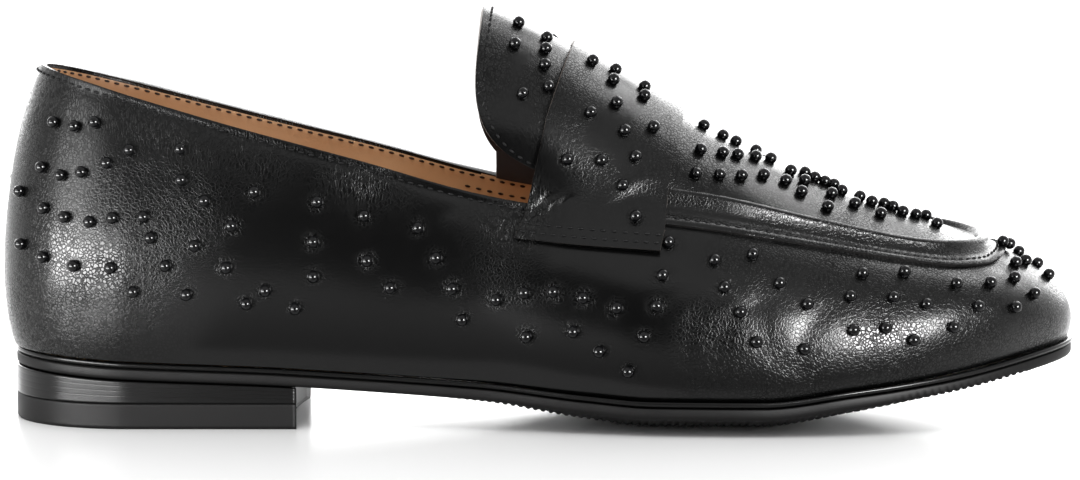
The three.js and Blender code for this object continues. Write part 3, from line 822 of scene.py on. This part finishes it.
# Apron: the raised piece over the toes. It laps over the vamp with a cut edge and a row of stitches,
# rises through a hollow flank to a round rim, and is sunk a little inside that rim.
APRON_ROWS = 150
ARCH_STEPS = 64
FLANK_STEPS = 9
TONGUE_JOINT = 150.0
STRAP_FRONT_TOP = 165.0
APRON_THICKNESS = 1.5
RIM_RADIUS = 1.35
RIM_STEP = 1.2
LAP = 1.1
LAP_FOLD = 0.4
LAP_RISE = 1.0
FLANK_HOLLOW = 0.29
APRON_EDGE_ROUND = 0.25
APRON_SETBACK = 0.002
RIM_TURNS = (0, 15, 30, 45, 60, 75, 90, 110, 130, 160)


def apron_flank(angle):
    """Points of the apron's side, from its seam up over its rim to the groove inside it."""
    edge = line_point(EDGE, angle)
    ridge = line_point(SHOULDER, angle)
    out = outward(SHOULDER, angle)
    show = smooth_share(edge[:, 0] + LENGTH / 2, TONGUE_JOINT, STRAP_FRONT_TOP)[:, None]
    centre = ridge - (out + UP) * RIM_RADIUS
    rim = [
        centre + RIM_RADIUS * (out * math.cos(math.radians(turn)) + UP * math.sin(math.radians(turn)))
        for turn in RIM_TURNS
    ]
    rise = rim[0] - edge
    height = np.linalg.norm(rise, axis=-1, keepdims=True)
    face = rise / height
    away = np.cross(face, np.cross(UP, out))
    away *= np.sign((away * out).sum(-1, keepdims=True))
    lip = edge + away * LAP_RISE
    knee = (lip + rim[0]) / 2 - away * height * FLANK_HOLLOW
    lap = [lip - face * LAP, lip - face * LAP_FOLD * LAP]
    flank = [
        (1 - s) ** 3 * lip + 3 * s * (1 - s) * knee + s**3 * rim[0]
        for s in np.linspace(0, 1, FLANK_STEPS + 1)[:-1]
    ]
    sunk = centre - out * (RIM_RADIUS + GAP) - UP * (RIM_STEP - RIM_RADIUS / 2) * show
    return lap + flank + rim + [sunk]


apron_angles = np.linspace(angle_at(TONGUE_JOINT) + APRON_SETBACK, np.pi, APRON_ROWS + 1)
across = np.linspace(-1, 1, ARCH_STEPS + 1)
apron_reach = line_point(EDGE, apron_angles)[:, 0] + LENGTH / 2
drop = RIM_STEP * smooth_share(apron_reach, TONGUE_JOINT, STRAP_FRONT_TOP)
plug = arch_point(apron_angles[:, None], across[None, :], 2 * (RIM_RADIUS + GAP), drop[:, None])
outer_flank = np.stack(apron_flank(apron_angles), 1)
inner_flank = np.stack(apron_flank(2 * np.pi - apron_angles), 1)[:, ::-1]
apron_grid = np.concatenate([outer_flank, plug, inner_flank], axis=1)
apron = leather_piece(
    "apron_leather",
    "apron",
    apron_grid,
    APRON_THICKNESS,
    [crackled_leather, lining_leather, cut_edge],
    APRON_EDGE_ROUND,
)

# Tongue: a tall half round of the same leather with a dark brown lining, that stands up behind the strap.
# The lining's dark brown is partly painted shade, for the shade under the tongue.
# Its free edge is cut clean and stitched. On the inner side it reaches on down into the collar.
TONGUE_TIP = 116.4
TONGUE_SWEEP = 5.5
TONGUE_CUT = (17.8, 8.0)
TONGUE_CUT_TURN = 8
TONGUE_EDGE_ROUND = 0.3
TONGUE_TUCK = 1.2
TONGUE_ROWS = 60
TONGUE_COLUMNS = 96
WING_STEPS = 6


def tongue_end(across):
    """How far from the back of the shoe the tongue's free edge is, across the arch."""
    cut = np.where(across < 0, TONGUE_CUT[0], TONGUE_CUT[1])
    return TONGUE_TIP - TONGUE_SWEEP * across**2 + cut * np.abs(across) ** TONGUE_CUT_TURN


over = np.sin(np.linspace(-1, 1, TONGUE_COLUMNS + 1) * np.pi / 2)
forward = np.linspace(0, 1, TONGUE_ROWS + 1)[:, None]
tongue_x = tongue_end(over) + (TONGUE_JOINT - GAP - tongue_end(over)) * forward
tongue_grid = arch_point(angle_at(tongue_x), over[None, :])
side = tongue_grid[:, -1]
collar_top = line_height(EDGE, side[:, 0], side[:, 1])
bend = np.stack([side[:, 0], side[:, 1] - WALL + 2 * GAP, collar_top + 3 * GAP], -1)
tucked = np.stack([bend[:, 0], bend[:, 1], collar_top - TONGUE_TUCK], -1)
wing = [side + (bend - side) * share for share in np.linspace(0, 1, WING_STEPS + 1)[1:]] + [tucked]
tongue_grid = np.concatenate([tongue_grid, np.stack(wing, 1)], axis=1)
tongue = leather_piece(
    "tongue_leather",
    "tongue",
    tongue_grid,
    WALL,
    [crackled_leather, brown_lining_painted_shade, raw_edge],
    TONGUE_EDGE_ROUND,
)

# Strap: a saddle of leather across the instep, with clean cut edges. It bridges the apron's rim and
# is sewn down to the quarters on both sides with two rows of stitches.
STRAP_THICKNESS = 1.5
STRAP_REAR = (138.0, 124.0)
STRAP_FRONT = (STRAP_FRONT_TOP, 157.5)
STRAP_LEAVES_ARCH = 0.76
STRAP_MEETS_WALL = 0.92
STRAP_FOOT = 0.8
STRAP_ARCH_PART = 0.62
STRAP_WALL_PART = 0.87
STRAP_SPREAD = 1.6
BRIDGE_REACH = 0.38
ARCH_RUN = 0.03
WALL_RUN = 0.02
STRAP_SHRINK = 0.05
STRAP_EDGE_ROUND = 0.2
PAINTED_SHADE_BELOW = -0.4
STRAP_ROWS = 84
STRAP_COLUMNS = 320
STRAP_FOLDS = table(
    "along up turn length width depth",
    (0.610, 0.685, -18.0, 0.060, 0.0060, -0.2),
    (0.600, 0.635, -18.0, 0.056, 0.0090, 0.50),
    (0.488, 0.63, 70.0, 0.018, 0.0030, 0.30),
    (0.496, 0.61, 55.0, 0.020, 0.0030, 0.35),
    (0.504, 0.63, 65.0, 0.018, 0.0030, 0.35),
    (0.512, 0.61, 50.0, 0.022, 0.0030, 0.30),
    (0.522, 0.625, 60.0, 0.018, 0.0030, 0.25),
)


def strap_bed(t, across):
    """The surface that the strap lies on: t runs from its rear to its front edge."""
    t, across = np.broadcast_arrays(t, across)
    away = np.abs(across)
    spread = away**STRAP_SPREAD
    rear = STRAP_REAR[0] + (STRAP_REAR[1] - STRAP_REAR[0]) * spread
    front = STRAP_FRONT[0] + (STRAP_FRONT[1] - STRAP_FRONT[0]) * spread
    side = np.where(across < 0, -1, 1)
    on_outer = angle_at(rear + (front - rear) * t)
    angle = np.where(side < 0, on_outer, 2 * np.pi - on_outer)
    on_arch = arch_point(on_outer, side * np.minimum(away / STRAP_ARCH_PART, 1) * STRAP_LEAVES_ARCH)
    down = np.clip((away - STRAP_WALL_PART) / (1 - STRAP_WALL_PART), 0, 1)
    on_wall = wall_point(angle, STRAP_MEETS_WALL + (STRAP_FOOT - STRAP_MEETS_WALL) * down)
    start = arch_point(on_outer, side * STRAP_LEAVES_ARCH)
    end = wall_point(angle, STRAP_MEETS_WALL)
    reach = np.linalg.norm(end - start, axis=-1, keepdims=True) * BRIDGE_REACH
    start_run = start - arch_point(on_outer, side * (STRAP_LEAVES_ARCH - ARCH_RUN))
    end_run = end - wall_point(angle, STRAP_MEETS_WALL - WALL_RUN)
    start_guide = start + start_run / np.linalg.norm(start_run, axis=-1, keepdims=True) * reach
    end_guide = end + end_run / np.linalg.norm(end_run, axis=-1, keepdims=True) * reach
    s = np.clip((away - STRAP_ARCH_PART) / (STRAP_WALL_PART - STRAP_ARCH_PART), 0, 1)[..., None]
    bridge = cubic(s, start, start_guide, end_guide, end)
    away = away[..., None]
    return np.where(away <= STRAP_ARCH_PART, on_arch, np.where(away >= STRAP_WALL_PART, on_wall, bridge))


strap_t = np.linspace(0, 1, STRAP_ROWS + 1)[:, None]
strap_across = np.linspace(-1, 1, STRAP_COLUMNS + 1)[None, :]
strap_grid = strap_bed(strap_t, strap_across)
strap_normals = grid_normals(strap_grid)
strap_rise = GAP + STRAP_THICKNESS - soft_folds(strap_grid, STRAP_FOLDS)
strap_grid = strap_grid + strap_normals * strap_rise[..., None]
strap = leather_piece(
    "strap_leather",
    "strap",
    strap_grid,
    STRAP_THICKNESS - STRAP_SHRINK,
    [crackled_leather, brown_lining_painted_shade, raw_edge],
    STRAP_EDGE_ROUND,
)
# Edge faces that look downwards take the black face leather: painted shade along the strap's lower edges.
for face in strap.data.polygons:
    if face.material_index == 2 and face.normal.z < PAINTED_SHADE_BELOW:
        face.material_index = 0

# Sole: layers of leather and rubber, cemented together and trimmed to the last's lower edge. Each is
# a ring of edge profiles, filled between the outer and the inner side, and its edge is inked black.
HEEL_LENGTH = 72.8
FOREFOOT_MARGIN = 0.7
HEEL_MARGIN = -0.7
MIDSOLE_BEAD = 0.3
MARGIN_FULL_AT = 0.6
HOLLOW_FROM = 0.7
HOLLOW_ROOM = 0.3
RING_ROWS = 260
FILL_STEPS = 12


def sole_outline(angle, inset, extra=0.0):
    """x and y of the sole's edge. It stands out in the forefoot, where extra adds to it."""
    x, y = plan_point(FEATHER, angle)
    front = smooth_share(along_at(x), HEEL_LENGTH / LENGTH, MARGIN_FULL_AT)
    margin = HEEL_MARGIN + (FOREFOOT_MARGIN + extra - HEEL_MARGIN) * front - inset
    return np.stack([x, y], -1) + outward(FEATHER, angle)[..., :2] * margin[..., None]


def above(height, rise):
    """A surface that lies a fixed rise above another one."""
    return lambda x, y: height(x, y) + rise


def trimmed(top, *edge):
    """An edge profile from (inset, drop) rows, below a surface that lies top above the underside."""
    return [(inset, above(underside, top - drop)) for inset, drop in edge]


def sole_layer(name, node, outline, profile, material, last_angle=np.pi, steps=RING_ROWS, bend=0.0):
    """A closed layer. profile lists (inset, height) round its edge from top to bottom, where height
    is a function of x and y. bend hollows the end of a layer that stops short of the toe."""
    angles = np.linspace(0, last_angle, steps + 1)
    fill = np.linspace(0, 1, FILL_STEPS + 1)[1:-1]

    def chords(inset, height):
        ends = [outline(angle, inset) for angle in (angles, 2 * np.pi - angles)]
        xy = ends[0][:, None] + (ends[1] - ends[0])[:, None] * fill[None, :, None]
        return np.concatenate([xy, height(xy[..., 0], xy[..., 1])[..., None]], -1)

    def edge(ring_angles, levels):
        lines = [(outline(ring_angles, inset), height) for inset, height in levels]
        return np.stack([np.column_stack([xy, height(*xy.T)]) for xy, height in lines], 1)

    loop = np.concatenate(
        [
            edge(angles, profile[::-1]),
            chords(*profile[0]),
            edge(2 * np.pi - angles, profile),
            chords(*profile[-1])[:, ::-1],
        ],
        axis=1,
    )
    low, high = (pick(loop[:, :, 1], axis=1, keepdims=True) for pick in (np.min, np.max))
    from_middle = (loop[:, :, 1] - (high + low) / 2) / np.maximum((high - low) / 2, 1e-6)
    near_end = np.maximum(0, np.linspace(0, 1, steps + 1) - HOLLOW_FROM) / HOLLOW_ROOM
    loop[:, :, 0] -= bend * near_end[:, None] * (1 - from_middle**2)
    count = loop.shape[1]
    points = np.concatenate([loop, loop[:, :1]], axis=1)
    faces = grid_faces(steps + 1, count + 1)[:, ::-1]
    points = points.reshape(-1, 3)
    if last_angle < np.pi:
        depth = len(profile)
        last = steps * (count + 1) + np.arange(count)
        lines = [last[:depth][::-1]]
        for i in range(FILL_STEPS - 1):
            top, bottom = last[depth + i], last[count - 1 - i]
            share = np.linspace(0, 1, depth)[1:-1, None]
            fresh = len(points) + np.arange(depth - 2)
            points = np.concatenate([points, points[top] + (points[bottom] - points[top]) * share])
            lines.append(np.array([top, *fresh, bottom]))
        lines.append(last[depth + FILL_STEPS - 1 : 2 * depth + FILL_STEPS - 1])
        end = np.array(lines)
        cap = np.stack([end[:-1, :-1], end[:-1, 1:], end[1:, 1:], end[1:, :-1]], -1).reshape(-1, 4)
        faces = np.concatenate([faces, cap])
    piece = link_mesh(name, points, faces, [material])
    work = bmesh.new()
    work.from_mesh(piece.data)
    bmesh.ops.dissolve_degenerate(work, edges=work.edges, dist=MERGE_DISTANCE)
    bmesh.ops.recalc_face_normals(work, faces=work.faces)
    work.to_mesh(piece.data)
    work.free()
    piece.data.shade_smooth()
    stand_for(piece, node)
    return piece


edge_ink = plain_leather("inked sole edge", "#0a0909", "#060606", 0.24, 0.5, 0.02, 0.4)
moulded_rubber = plain_leather("moulded black rubber", "#0c0b0b", "#090808", 0.5, 0.4, 0.02, 0.25)

# Insole: a board covered in tan leather that the foot stands on, seen through the collar.
INSOLE_THICKNESS = 2.4
INSOLE_INSET = 3.2
insole_top = SOLE_STACK + GAP + INSOLE_THICKNESS
sole_layer(
    "insole_cover",
    "insole",
    lambda angle, inset: sole_outline(angle, inset + INSOLE_INSET),
    trimmed(insole_top, (0.9, 0.0), (0.3, 0.15), (0.0, 0.6), (0.0, INSOLE_THICKNESS)),
    lining_leather,
)

# Midsole: a thin rand of black leather between upper and outsole. Its polished edge is a fine bead.
midsole_top = OUTSOLE_THICKNESS + GAP + MIDSOLE_THICKNESS
sole_layer(
    "midsole_rand",
    "midsole",
    lambda angle, inset: sole_outline(angle, inset, MIDSOLE_BEAD),
    trimmed(
        midsole_top,
        (0.9, 0.0),
        (0.3, 0.05),
        (0.08, 0.25),
        (0.0, 0.6),
        (0.08, 1.0),
        (0.4, MIDSOLE_THICKNESS),
    ),
    edge_ink,
)

# Outsole: moulded black rubber with a rounded lower edge and fine ribs across the tread, which run
# out through the edge towards the toe.
TREAD_PITCH = 1.8
TREAD_DEPTH = 0.35
TREAD_ROWS = 1300
RIBS_BEGIN = (0.36, 0.38)
RIBS_END = (0.935, 0.95)
RIBS_MEET_EDGE = (0.8, 0.84)
RIB_INSET = (1.0, 2.5)
RIB_FLANK = (-0.2, 0.5)


def tread(rise):
    """The underside a little higher up, with ribs cut upwards so that its lowest points stay."""

    def height(x, y):
        along = along_at(x)
        half = HALF_BALL * np.where(y < 0, FEATHER["outer"](along), FEATHER["inner"](along))
        within = smooth_share(half - np.abs(y), *RIB_INSET)
        reach = smooth_share(along, *RIBS_BEGIN) * (1 - smooth_share(along, *RIBS_END))
        cut = smooth_share(np.cos(2 * np.pi * x / TREAD_PITCH), *RIB_FLANK)
        through_edge = smooth_share(along, *RIBS_MEET_EDGE)
        return underside(x, y) + rise + TREAD_DEPTH * cut * reach * np.maximum(within, through_edge)

    return height


sole_layer(
    "outsole_tread",
    "outsole",
    sole_outline,
    [
        *trimmed(OUTSOLE_THICKNESS, (0.5, 0.0), (0.12, 0.12), (0.0, 0.4)),
        (0.0, above(underside, 0.9)),
        (0.1, tread(0.45)),
        (0.35, tread(0.12)),
        (0.8, tread(0.0)),
    ],
    moulded_rubber,
    steps=TREAD_ROWS,
)

# Heel: a stack of leather lifts, trimmed flush, inked black and waxed, so that the joints between
# them are just seen. A top piece of black rubber is glued under it.
LIFT_THICKNESS = 6.0
BREAST_HOLLOW = 2.5
HEEL_ROWS = 110
JOINTS = (0.22, 0.44, 0.66)
JOINT_WIDTH = 0.02
JOINT_DEPTH = 0.018
JOINT_PROFILE = (-3, -1, 0, 1, 3)
breast_share = (HEEL_LENGTH / LENGTH - FEATHER["back"]) / (FEATHER["front"] - FEATHER["back"])
breast_angle = math.acos(1 - 2 * breast_share)


def heel_level(share):
    """A level in the heel block: 0 at its top, 1 at its foot."""
    return lambda x, y: (underside(x, y) - GAP) * (1 - share) + (LIFT_THICKNESS + GAP / 3) * share


def level(height):
    """A flat surface."""
    return lambda x, y: 0 * x + height


joints = [
    (0.0 if step else JOINT_DEPTH, joint + step * JOINT_WIDTH) for joint in JOINTS for step in JOINT_PROFILE
]
heel_edge = [(0.3, 0.0), (0.0, 0.03), (0.0, 0.08), *joints, (0.0, 0.92), (0.0, 0.97), (0.2, 1.0)]
sole_layer(
    "heel_block",
    "heel",
    sole_outline,
    [(inset, heel_level(share)) for inset, share in heel_edge],
    edge_ink,
    last_angle=breast_angle,
    steps=HEEL_ROWS,
    bend=BREAST_HOLLOW,
)
sole_layer(
    "heel_top_piece",
    "top_lift",
    sole_outline,
    [
        (0.2, level(LIFT_THICKNESS)),
        (0.0, level(LIFT_THICKNESS - 0.15)),
        (0.0, level(LIFT_THICKNESS - 0.6)),
        (0.0, level(0.9)),
        (0.0, level(0.4)),
        (0.4, level(0.0)),
    ],
    moulded_rubber,
    last_angle=breast_angle,
    steps=HEEL_ROWS,
    bend=BREAST_HOLLOW,
)

# Stitches: lockstitched bonded thread, black outside and dark brown on the lining. Each stitch is a
# low bead, laid at every pitch along a line on the leather.
THREAD_BLACK = "#09090a"
THREAD_BROWN = "#2a1c14"
THREAD_ROUGHNESS = 0.6
THREAD_SHINE = 0.12
TWIST_SIZE = 0.3
TWIST_DEPTH = 0.05
TWIST_STRENGTH = 0.5
STITCH_BEAD = {"Segments": 8, "Rings": 6, "Radius": 0.5}
STITCH_SIZES = {"Length": 1.5, "Width": 0.65, "Height": 0.85}
COLLAR_PITCH = 2.4
LINING_PITCH = 2.6
LINING_STITCH_IN = 1.7
SECOND_ROW_IN = 5.0
SECOND_ROW_FROM = 112.0
COLLAR_ENDS_AT = 126.0
STRAP_STITCH_IN = (4.1, 1.9)
STITCH_FREE_ROWS = 3
TONGUE_STITCH_IN = 2.1
TONGUE_FREE_COLUMNS = slice(4, TONGUE_COLUMNS - 3)
APRON_STITCH_IN = 2.4


def thread_material(name, colour):
    """Waxed twisted thread, nearly dull, with a slight twist in the bump."""
    material, tree = new_material(name)
    place = add(tree, "ShaderNodeTexCoord").outputs["Object"]
    twist = add(tree, "ShaderNodeTexNoise", {"Vector": place, "Scale": 1 / (TWIST_SIZE * MM), "Detail": 1.0})
    bump = add(
        tree,
        "ShaderNodeBump",
        {"Height": twist.outputs["Fac"], "Strength": TWIST_STRENGTH, "Distance": TWIST_DEPTH * MM},
    )
    surface(tree, linear(colour), THREAD_ROUGHNESS, THREAD_SHINE, bump.outputs["Normal"])
    return material


def group(name, *sockets):
    """A Geometry Nodes tree with named inputs, what they give, and its points' up direction."""
    tree = bpy.data.node_groups.new(name, "GeometryNodeTree")
    for socket, kind in sockets:
        tree.interface.new_socket(socket, in_out="INPUT", socket_type="NodeSocket" + kind)
    tree.interface.new_socket("Geometry", in_out="OUTPUT", socket_type="NodeSocketGeometry")
    up = add(tree, "GeometryNodeInputNamedAttribute", {"Name": "up"}, data_type="FLOAT_VECTOR")
    return tree, add(tree, "NodeGroupInput").outputs, up.outputs["Attribute"]


def end_group(tree, instances, material):
    """Makes the instances real and smooth, and gives them their material."""
    real = add(tree, "GeometryNodeRealizeInstances", {"Geometry": instances}).outputs["Geometry"]
    smooth = add(tree, "GeometryNodeSetShadeSmooth", {"Geometry": real}).outputs["Geometry"]
    finished = add(tree, "GeometryNodeSetMaterial", {"Geometry": smooth, "Material": material})
    add(tree, "NodeGroupOutput", {"Geometry": finished.outputs["Geometry"]})


def repeated(name, tree, points, ups, edges, settings):
    """A plain mesh that a tree makes from points, or from lines of them, that know which way is up."""
    mesh = bpy.data.meshes.new(name)
    mesh.from_pydata((np.asarray(points) * MM).tolist(), edges, [])
    mesh.attributes.new("up", "FLOAT_VECTOR", "POINT").data.foreach_set("vector", np.ravel(ups))
    piece = place_object(name, mesh)
    modifier = piece.modifiers.new("repeated", "NODES")
    modifier.node_group = tree
    for socket in tree.interface.items_tree:
        if socket.name in settings:
            modifier[socket.identifier] = settings[socket.name]
    make_plain(piece)
    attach(piece, BODY)
    return piece


stitch_tree, given, up = group(
    "stitches",
    ("Line", "Geometry"),
    ("Pitch", "Float"),
    ("Length", "Float"),
    ("Width", "Float"),
    ("Height", "Float"),
    ("Thread", "Material"),
)
line = add(stitch_tree, "GeometryNodeMeshToCurve", {"Mesh": given["Line"]}).outputs["Curve"]
spaced = add(
    stitch_tree, "GeometryNodeResampleCurve", {"Curve": line, "Length": given["Pitch"]}, mode="LENGTH"
).outputs["Curve"]
turned = add(
    stitch_tree,
    "FunctionNodeAxesToRotation",
    {"Primary Axis": up, "Secondary Axis": add(stitch_tree, "GeometryNodeInputTangent").outputs["Tangent"]},
    primary_axis="Z",
    secondary_axis="X",
).outputs["Rotation"]
bead = add(stitch_tree, "GeometryNodeMeshUVSphere", STITCH_BEAD).outputs["Mesh"]
size = add(
    stitch_tree, "ShaderNodeCombineXYZ", {"X": given["Length"], "Y": given["Width"], "Z": given["Height"]}
).outputs["Vector"]
beads = add(
    stitch_tree,
    "GeometryNodeInstanceOnPoints",
    {"Points": spaced, "Instance": bead, "Rotation": turned, "Scale": size},
).outputs["Instances"]
end_group(stitch_tree, beads, given["Thread"])


def line_on(grid, normals, distance, backwards=False):
    """Points and normals of a line on a grid, at a distance from its first column or from its last."""
    if backwards:
        grid, normals = grid[:, ::-1], normals[:, ::-1]
    steps = np.linalg.norm(np.diff(grid, axis=1), axis=-1)
    run = np.concatenate([np.zeros((len(grid), 1)), np.cumsum(steps, axis=1)], axis=1)
    both = zip(run, np.concatenate([grid, normals], axis=-1))
    line = np.array([[np.interp(distance, away, values) for values in row.T] for away, row in both])
    return line[:, :3], line[:, 3:]


def stitched(name, lines, pitch, thread):
    """One piece with the stitches of several lines."""
    starts = np.cumsum([0] + [len(points) for points, _ in lines])
    edges = [(i, i + 1) for a, b in zip(starts[:-1], starts[1:]) for i in range(a, b - 1)]
    points, ups = (np.concatenate(parts) for parts in zip(*lines))
    settings = {size: value * MM for size, value in STITCH_SIZES.items()}
    settings |= {"Pitch": pitch * MM, "Thread": thread}
    return repeated(name, stitch_tree, points, ups, edges, settings)


black_thread = thread_material("waxed black thread", THREAD_BLACK)
brown_thread = thread_material("waxed brown thread", THREAD_BROWN)
collar_reach = int(angle_at(COLLAR_ENDS_AT) / (2 * np.pi) * RING_STEPS)
collar_rows = np.arange(-collar_reach, collar_reach + 1) % RING_STEPS
collar_face = upper_grid[collar_rows], grid_normals(upper_grid, ring=True)[collar_rows]
stitched(
    "collar_stitches",
    [line_on(*collar_face, COLLAR_STITCH_IN, backwards=True)],
    COLLAR_PITCH,
    black_thread,
)
lining_lines = []
for distance, begins in ((LINING_STITCH_IN, 0.0), (SECOND_ROW_IN, SECOND_ROW_FROM)):
    points, out = line_on(*collar_face, distance, backwards=True)
    points = points - out * WALL
    kept = points[:, 0] + LENGTH / 2 >= begins
    middle = len(points) // 2
    if kept.all():
        lining_lines.append((points, -out))
    else:
        for part in (slice(0, middle), slice(middle, None)):
            lining_lines.append((points[part][kept[part]], -out[part][kept[part]]))
stitched("lining_stitches", lining_lines, LINING_PITCH, brown_thread)
strap_normals = grid_normals(strap_grid)
within_strap = slice(STITCH_FREE_ROWS, -STITCH_FREE_ROWS)
stitched(
    "strap_stitches",
    [
        line_on(strap_grid[within_strap], strap_normals[within_strap], distance, backwards)
        for distance in STRAP_STITCH_IN
        for backwards in (False, True)
    ],
    COLLAR_PITCH,
    black_thread,
)
tongue_face = tongue_grid[:, TONGUE_FREE_COLUMNS].transpose(1, 0, 2)
stitched(
    "tongue_stitches",
    [line_on(tongue_face, -grid_normals(tongue_face), TONGUE_STITCH_IN)],
    COLLAR_PITCH,
    black_thread,
)
apron_normals = grid_normals(apron_grid)
stitched(
    "apron_stitches",
    [line_on(apron_grid, apron_normals, APRON_STITCH_IN, backwards) for backwards in (False, True)],
    COLLAR_PITCH,
    black_thread,
)

# Studs: small black lacquered balls on prongs that are pressed through the leather, scattered by
# hand over the upper. The chart gives where the camera sees them on the outer side, in the
# photograph's pixels. The hidden side has much the same scatter. Each pulls the finish around it.
STUD_RADIUS = 1.48
STUD_RAISED = 0.85
STUD_BALL = {"Segments": 12, "Rings": 7}
STUD_SPACING = 4.6
HIDDEN_SHIFT = (7, -5)
HIDDEN_BY = -0.3
STUDS_SEEN = table(
    "across down",
    # quarter, from the heel forwards
    (53, 122), (74, 126), (94, 122), (129, 150), (180, 149), (106, 163), (81, 172), (60, 175), (41, 167),
    (19, 191), (181, 180), (254, 192), (43, 208), (64, 217), (89, 222), (112, 218), (143, 217), (204, 201),
    (317, 202), (231, 226), (150, 238), (194, 246), (313, 242), (20, 244), (42, 257), (73, 266),
    (110, 268), (165, 266), (226, 268), (313, 277), (133, 292), (186, 295), (265, 291), (246, 304),
    (295, 309), (364, 216), (418, 228), (367, 261), (436, 258), (390, 288), (452, 289), (496, 300),
    (524, 293), (553, 292), (583, 298), (462, 320), (526, 337), (573, 332), (617, 308), (599, 352),
    (657, 306), (644, 337), (628, 372), (663, 275), (669, 242),
    # tongue
    (519, 22), (515, 43), (547, 37), (546, 48), (545, 64), (549, 86), (523, 93),
    # strap
    (593, 60), (616, 69), (614, 79), (645, 86), (645, 95), (617, 102), (591, 112), (625, 130),
    (654, 126), (636, 156), (568, 159), (602, 160), (623, 185), (636, 216),
    # apron
    (704, 125), (723, 135), (736, 141), (756, 150), (771, 158), (701, 149), (723, 152), (738, 154),
    (756, 156), (696, 173), (720, 174), (742, 175), (764, 174), (791, 170), (786, 180), (805, 172),
    (805, 180), (802, 191), (815, 177), (825, 181), (834, 184), (842, 190), (832, 193), (828, 206),
    (860, 196), (855, 203), (872, 201), (884, 203), (881, 213), (893, 206), (903, 211), (916, 214),
    (926, 215), (937, 223),
    # vamp and toe
    (1003, 241), (1011, 243), (1019, 251), (1016, 262), (1026, 260), (1041, 258), (1049, 274),
    (1015, 277), (1035, 293), (991, 282), (957, 283), (905, 271), (863, 273), (753, 254), (715, 260),
    (725, 287), (780, 283), (808, 304), (851, 296), (894, 297), (927, 304), (979, 306), (1016, 307),
    (741, 312), (854, 330), (886, 328), (954, 327), (914, 340), (757, 342), (805, 349),
)
HEEL_STUDS = table("across height", (9, 74), (15, 63), (7, 57), (17, 50), (10, 44), (16, 36))
SIGHT_START = 0.7
SIGHT_END = 1.1
SIGHT_STEP = 0.00005
CLOSE_ENOUGH = 0.00001
PULLED = 0.9
PULL_REACH = 2.6

carriers = [piece.data for piece in (upper, apron, tongue, strap)]
starts = np.cumsum([0] + [len(mesh.vertices) for mesh in carriers])
leather = BVHTree.FromPolygons(
    [vertex.co for mesh in carriers for vertex in mesh.vertices],
    [[start + i for i in face.vertices] for start, mesh in zip(starts, carriers) for face in mesh.polygons],
)


def apart(seat):
    """Whether a ball at a seat would stand clear of all the others."""
    return all((seat - other).length > STUD_SPACING * MM for other, _ in seats)


def stud_seat(eye, direction, begin, end):
    """Where a ball on a line of sight touches down on the leather, and which way is up there."""
    at = begin
    nearest = None
    while at < end:
        point = eye + direction * at
        seat, _, _, gap = leather.find_nearest(point)
        if nearest is None or gap < nearest[0]:
            nearest = (gap, seat, point)
        if gap - STUD_RAISED * MM < CLOSE_ENOUGH:
            break
        at += max(gap - STUD_RAISED * MM, SIGHT_STEP)
    gap, seat, point = nearest
    return seat, (point - seat).normalized()


eye = Vector((CAMERA_PLACE * MM).tolist())
ahead = Vector((CAMERA_AIM - CAMERA_PLACE).tolist()).normalized()
right = ahead.cross(Vector((0, 0, 1))).normalized()
above_sight = right.cross(ahead)
seats = []
for side, shift in ((1, (0, 0)), (-1, HIDDEN_SHIFT)):
    mirror = Vector((1, side, 1))
    for stud in rows(STUDS_SEEN):
        sight = ahead * FOCAL_PIXELS
        sight += right * (stud["across"] + shift[0] - PHOTO_WIDTH / 2)
        sight -= above_sight * (stud["down"] + shift[1] - PHOTO_HEIGHT / 2)
        seat, up = stud_seat(eye * mirror, (sight * mirror).normalized(), SIGHT_START, SIGHT_END)
        if side > 0 or apart(seat) and up.dot((eye - seat).normalized()) < HIDDEN_BY:
            seats.append((seat, up))
for stud in rows(HEEL_STUDS):
    behind = Vector((-LENGTH, stud["across"], stud["height"])) * MM
    seat, up = stud_seat(behind, Vector((1, 0, 0)), 0.0, LENGTH * MM)
    if apart(seat):
        seats.append((seat, up))

# The prongs pull the finish into small creases round each stud.
for mesh in carriers:
    points = vertex_points(mesh)
    creased = np.empty(len(mesh.vertices))
    mesh.attributes["creased"].data.foreach_get("value", creased)
    for seat, _ in seats:
        away = np.linalg.norm(points - np.array(seat) / MM, axis=1)
        creased = np.maximum(creased, PULLED * np.exp(-((away / PULL_REACH) ** 2)))
    mesh.attributes["creased"].data.foreach_set("value", creased)

lacquer = plain_leather("black lacquered metal", "#08080a", "#050506", 0.14, 0.5, 0.004)
stud_tree, given, up = group(
    "studs", ("Seats", "Geometry"), ("Radius", "Float"), ("Raised", "Float"), ("Lacquer", "Material")
)
lift = add(
    stud_tree, "ShaderNodeVectorMath", {0: up, "Scale": given["Raised"]}, operation="SCALE"
).outputs["Vector"]
centres = add(stud_tree, "GeometryNodeSetPosition", {"Geometry": given["Seats"], "Offset": lift})
standing = add(
    stud_tree, "FunctionNodeAlignRotationToVector", {"Vector": up}, axis="Z"
).outputs["Rotation"]
ball = add(stud_tree, "GeometryNodeMeshUVSphere", STUD_BALL | {"Radius": given["Radius"]})
balls = add(
    stud_tree,
    "GeometryNodeInstanceOnPoints",
    {"Points": centres.outputs["Geometry"], "Instance": ball.outputs["Mesh"], "Rotation": standing},
).outputs["Instances"]
end_group(stud_tree, balls, given["Lacquer"])
repeated(
    "studs",
    stud_tree,
    [np.array(seat) / MM for seat, _ in seats],
    [tuple(up) for _, up in seats],
    [],
    {"Radius": STUD_RADIUS * MM, "Raised": STUD_RAISED * MM, "Lacquer": lacquer},
)
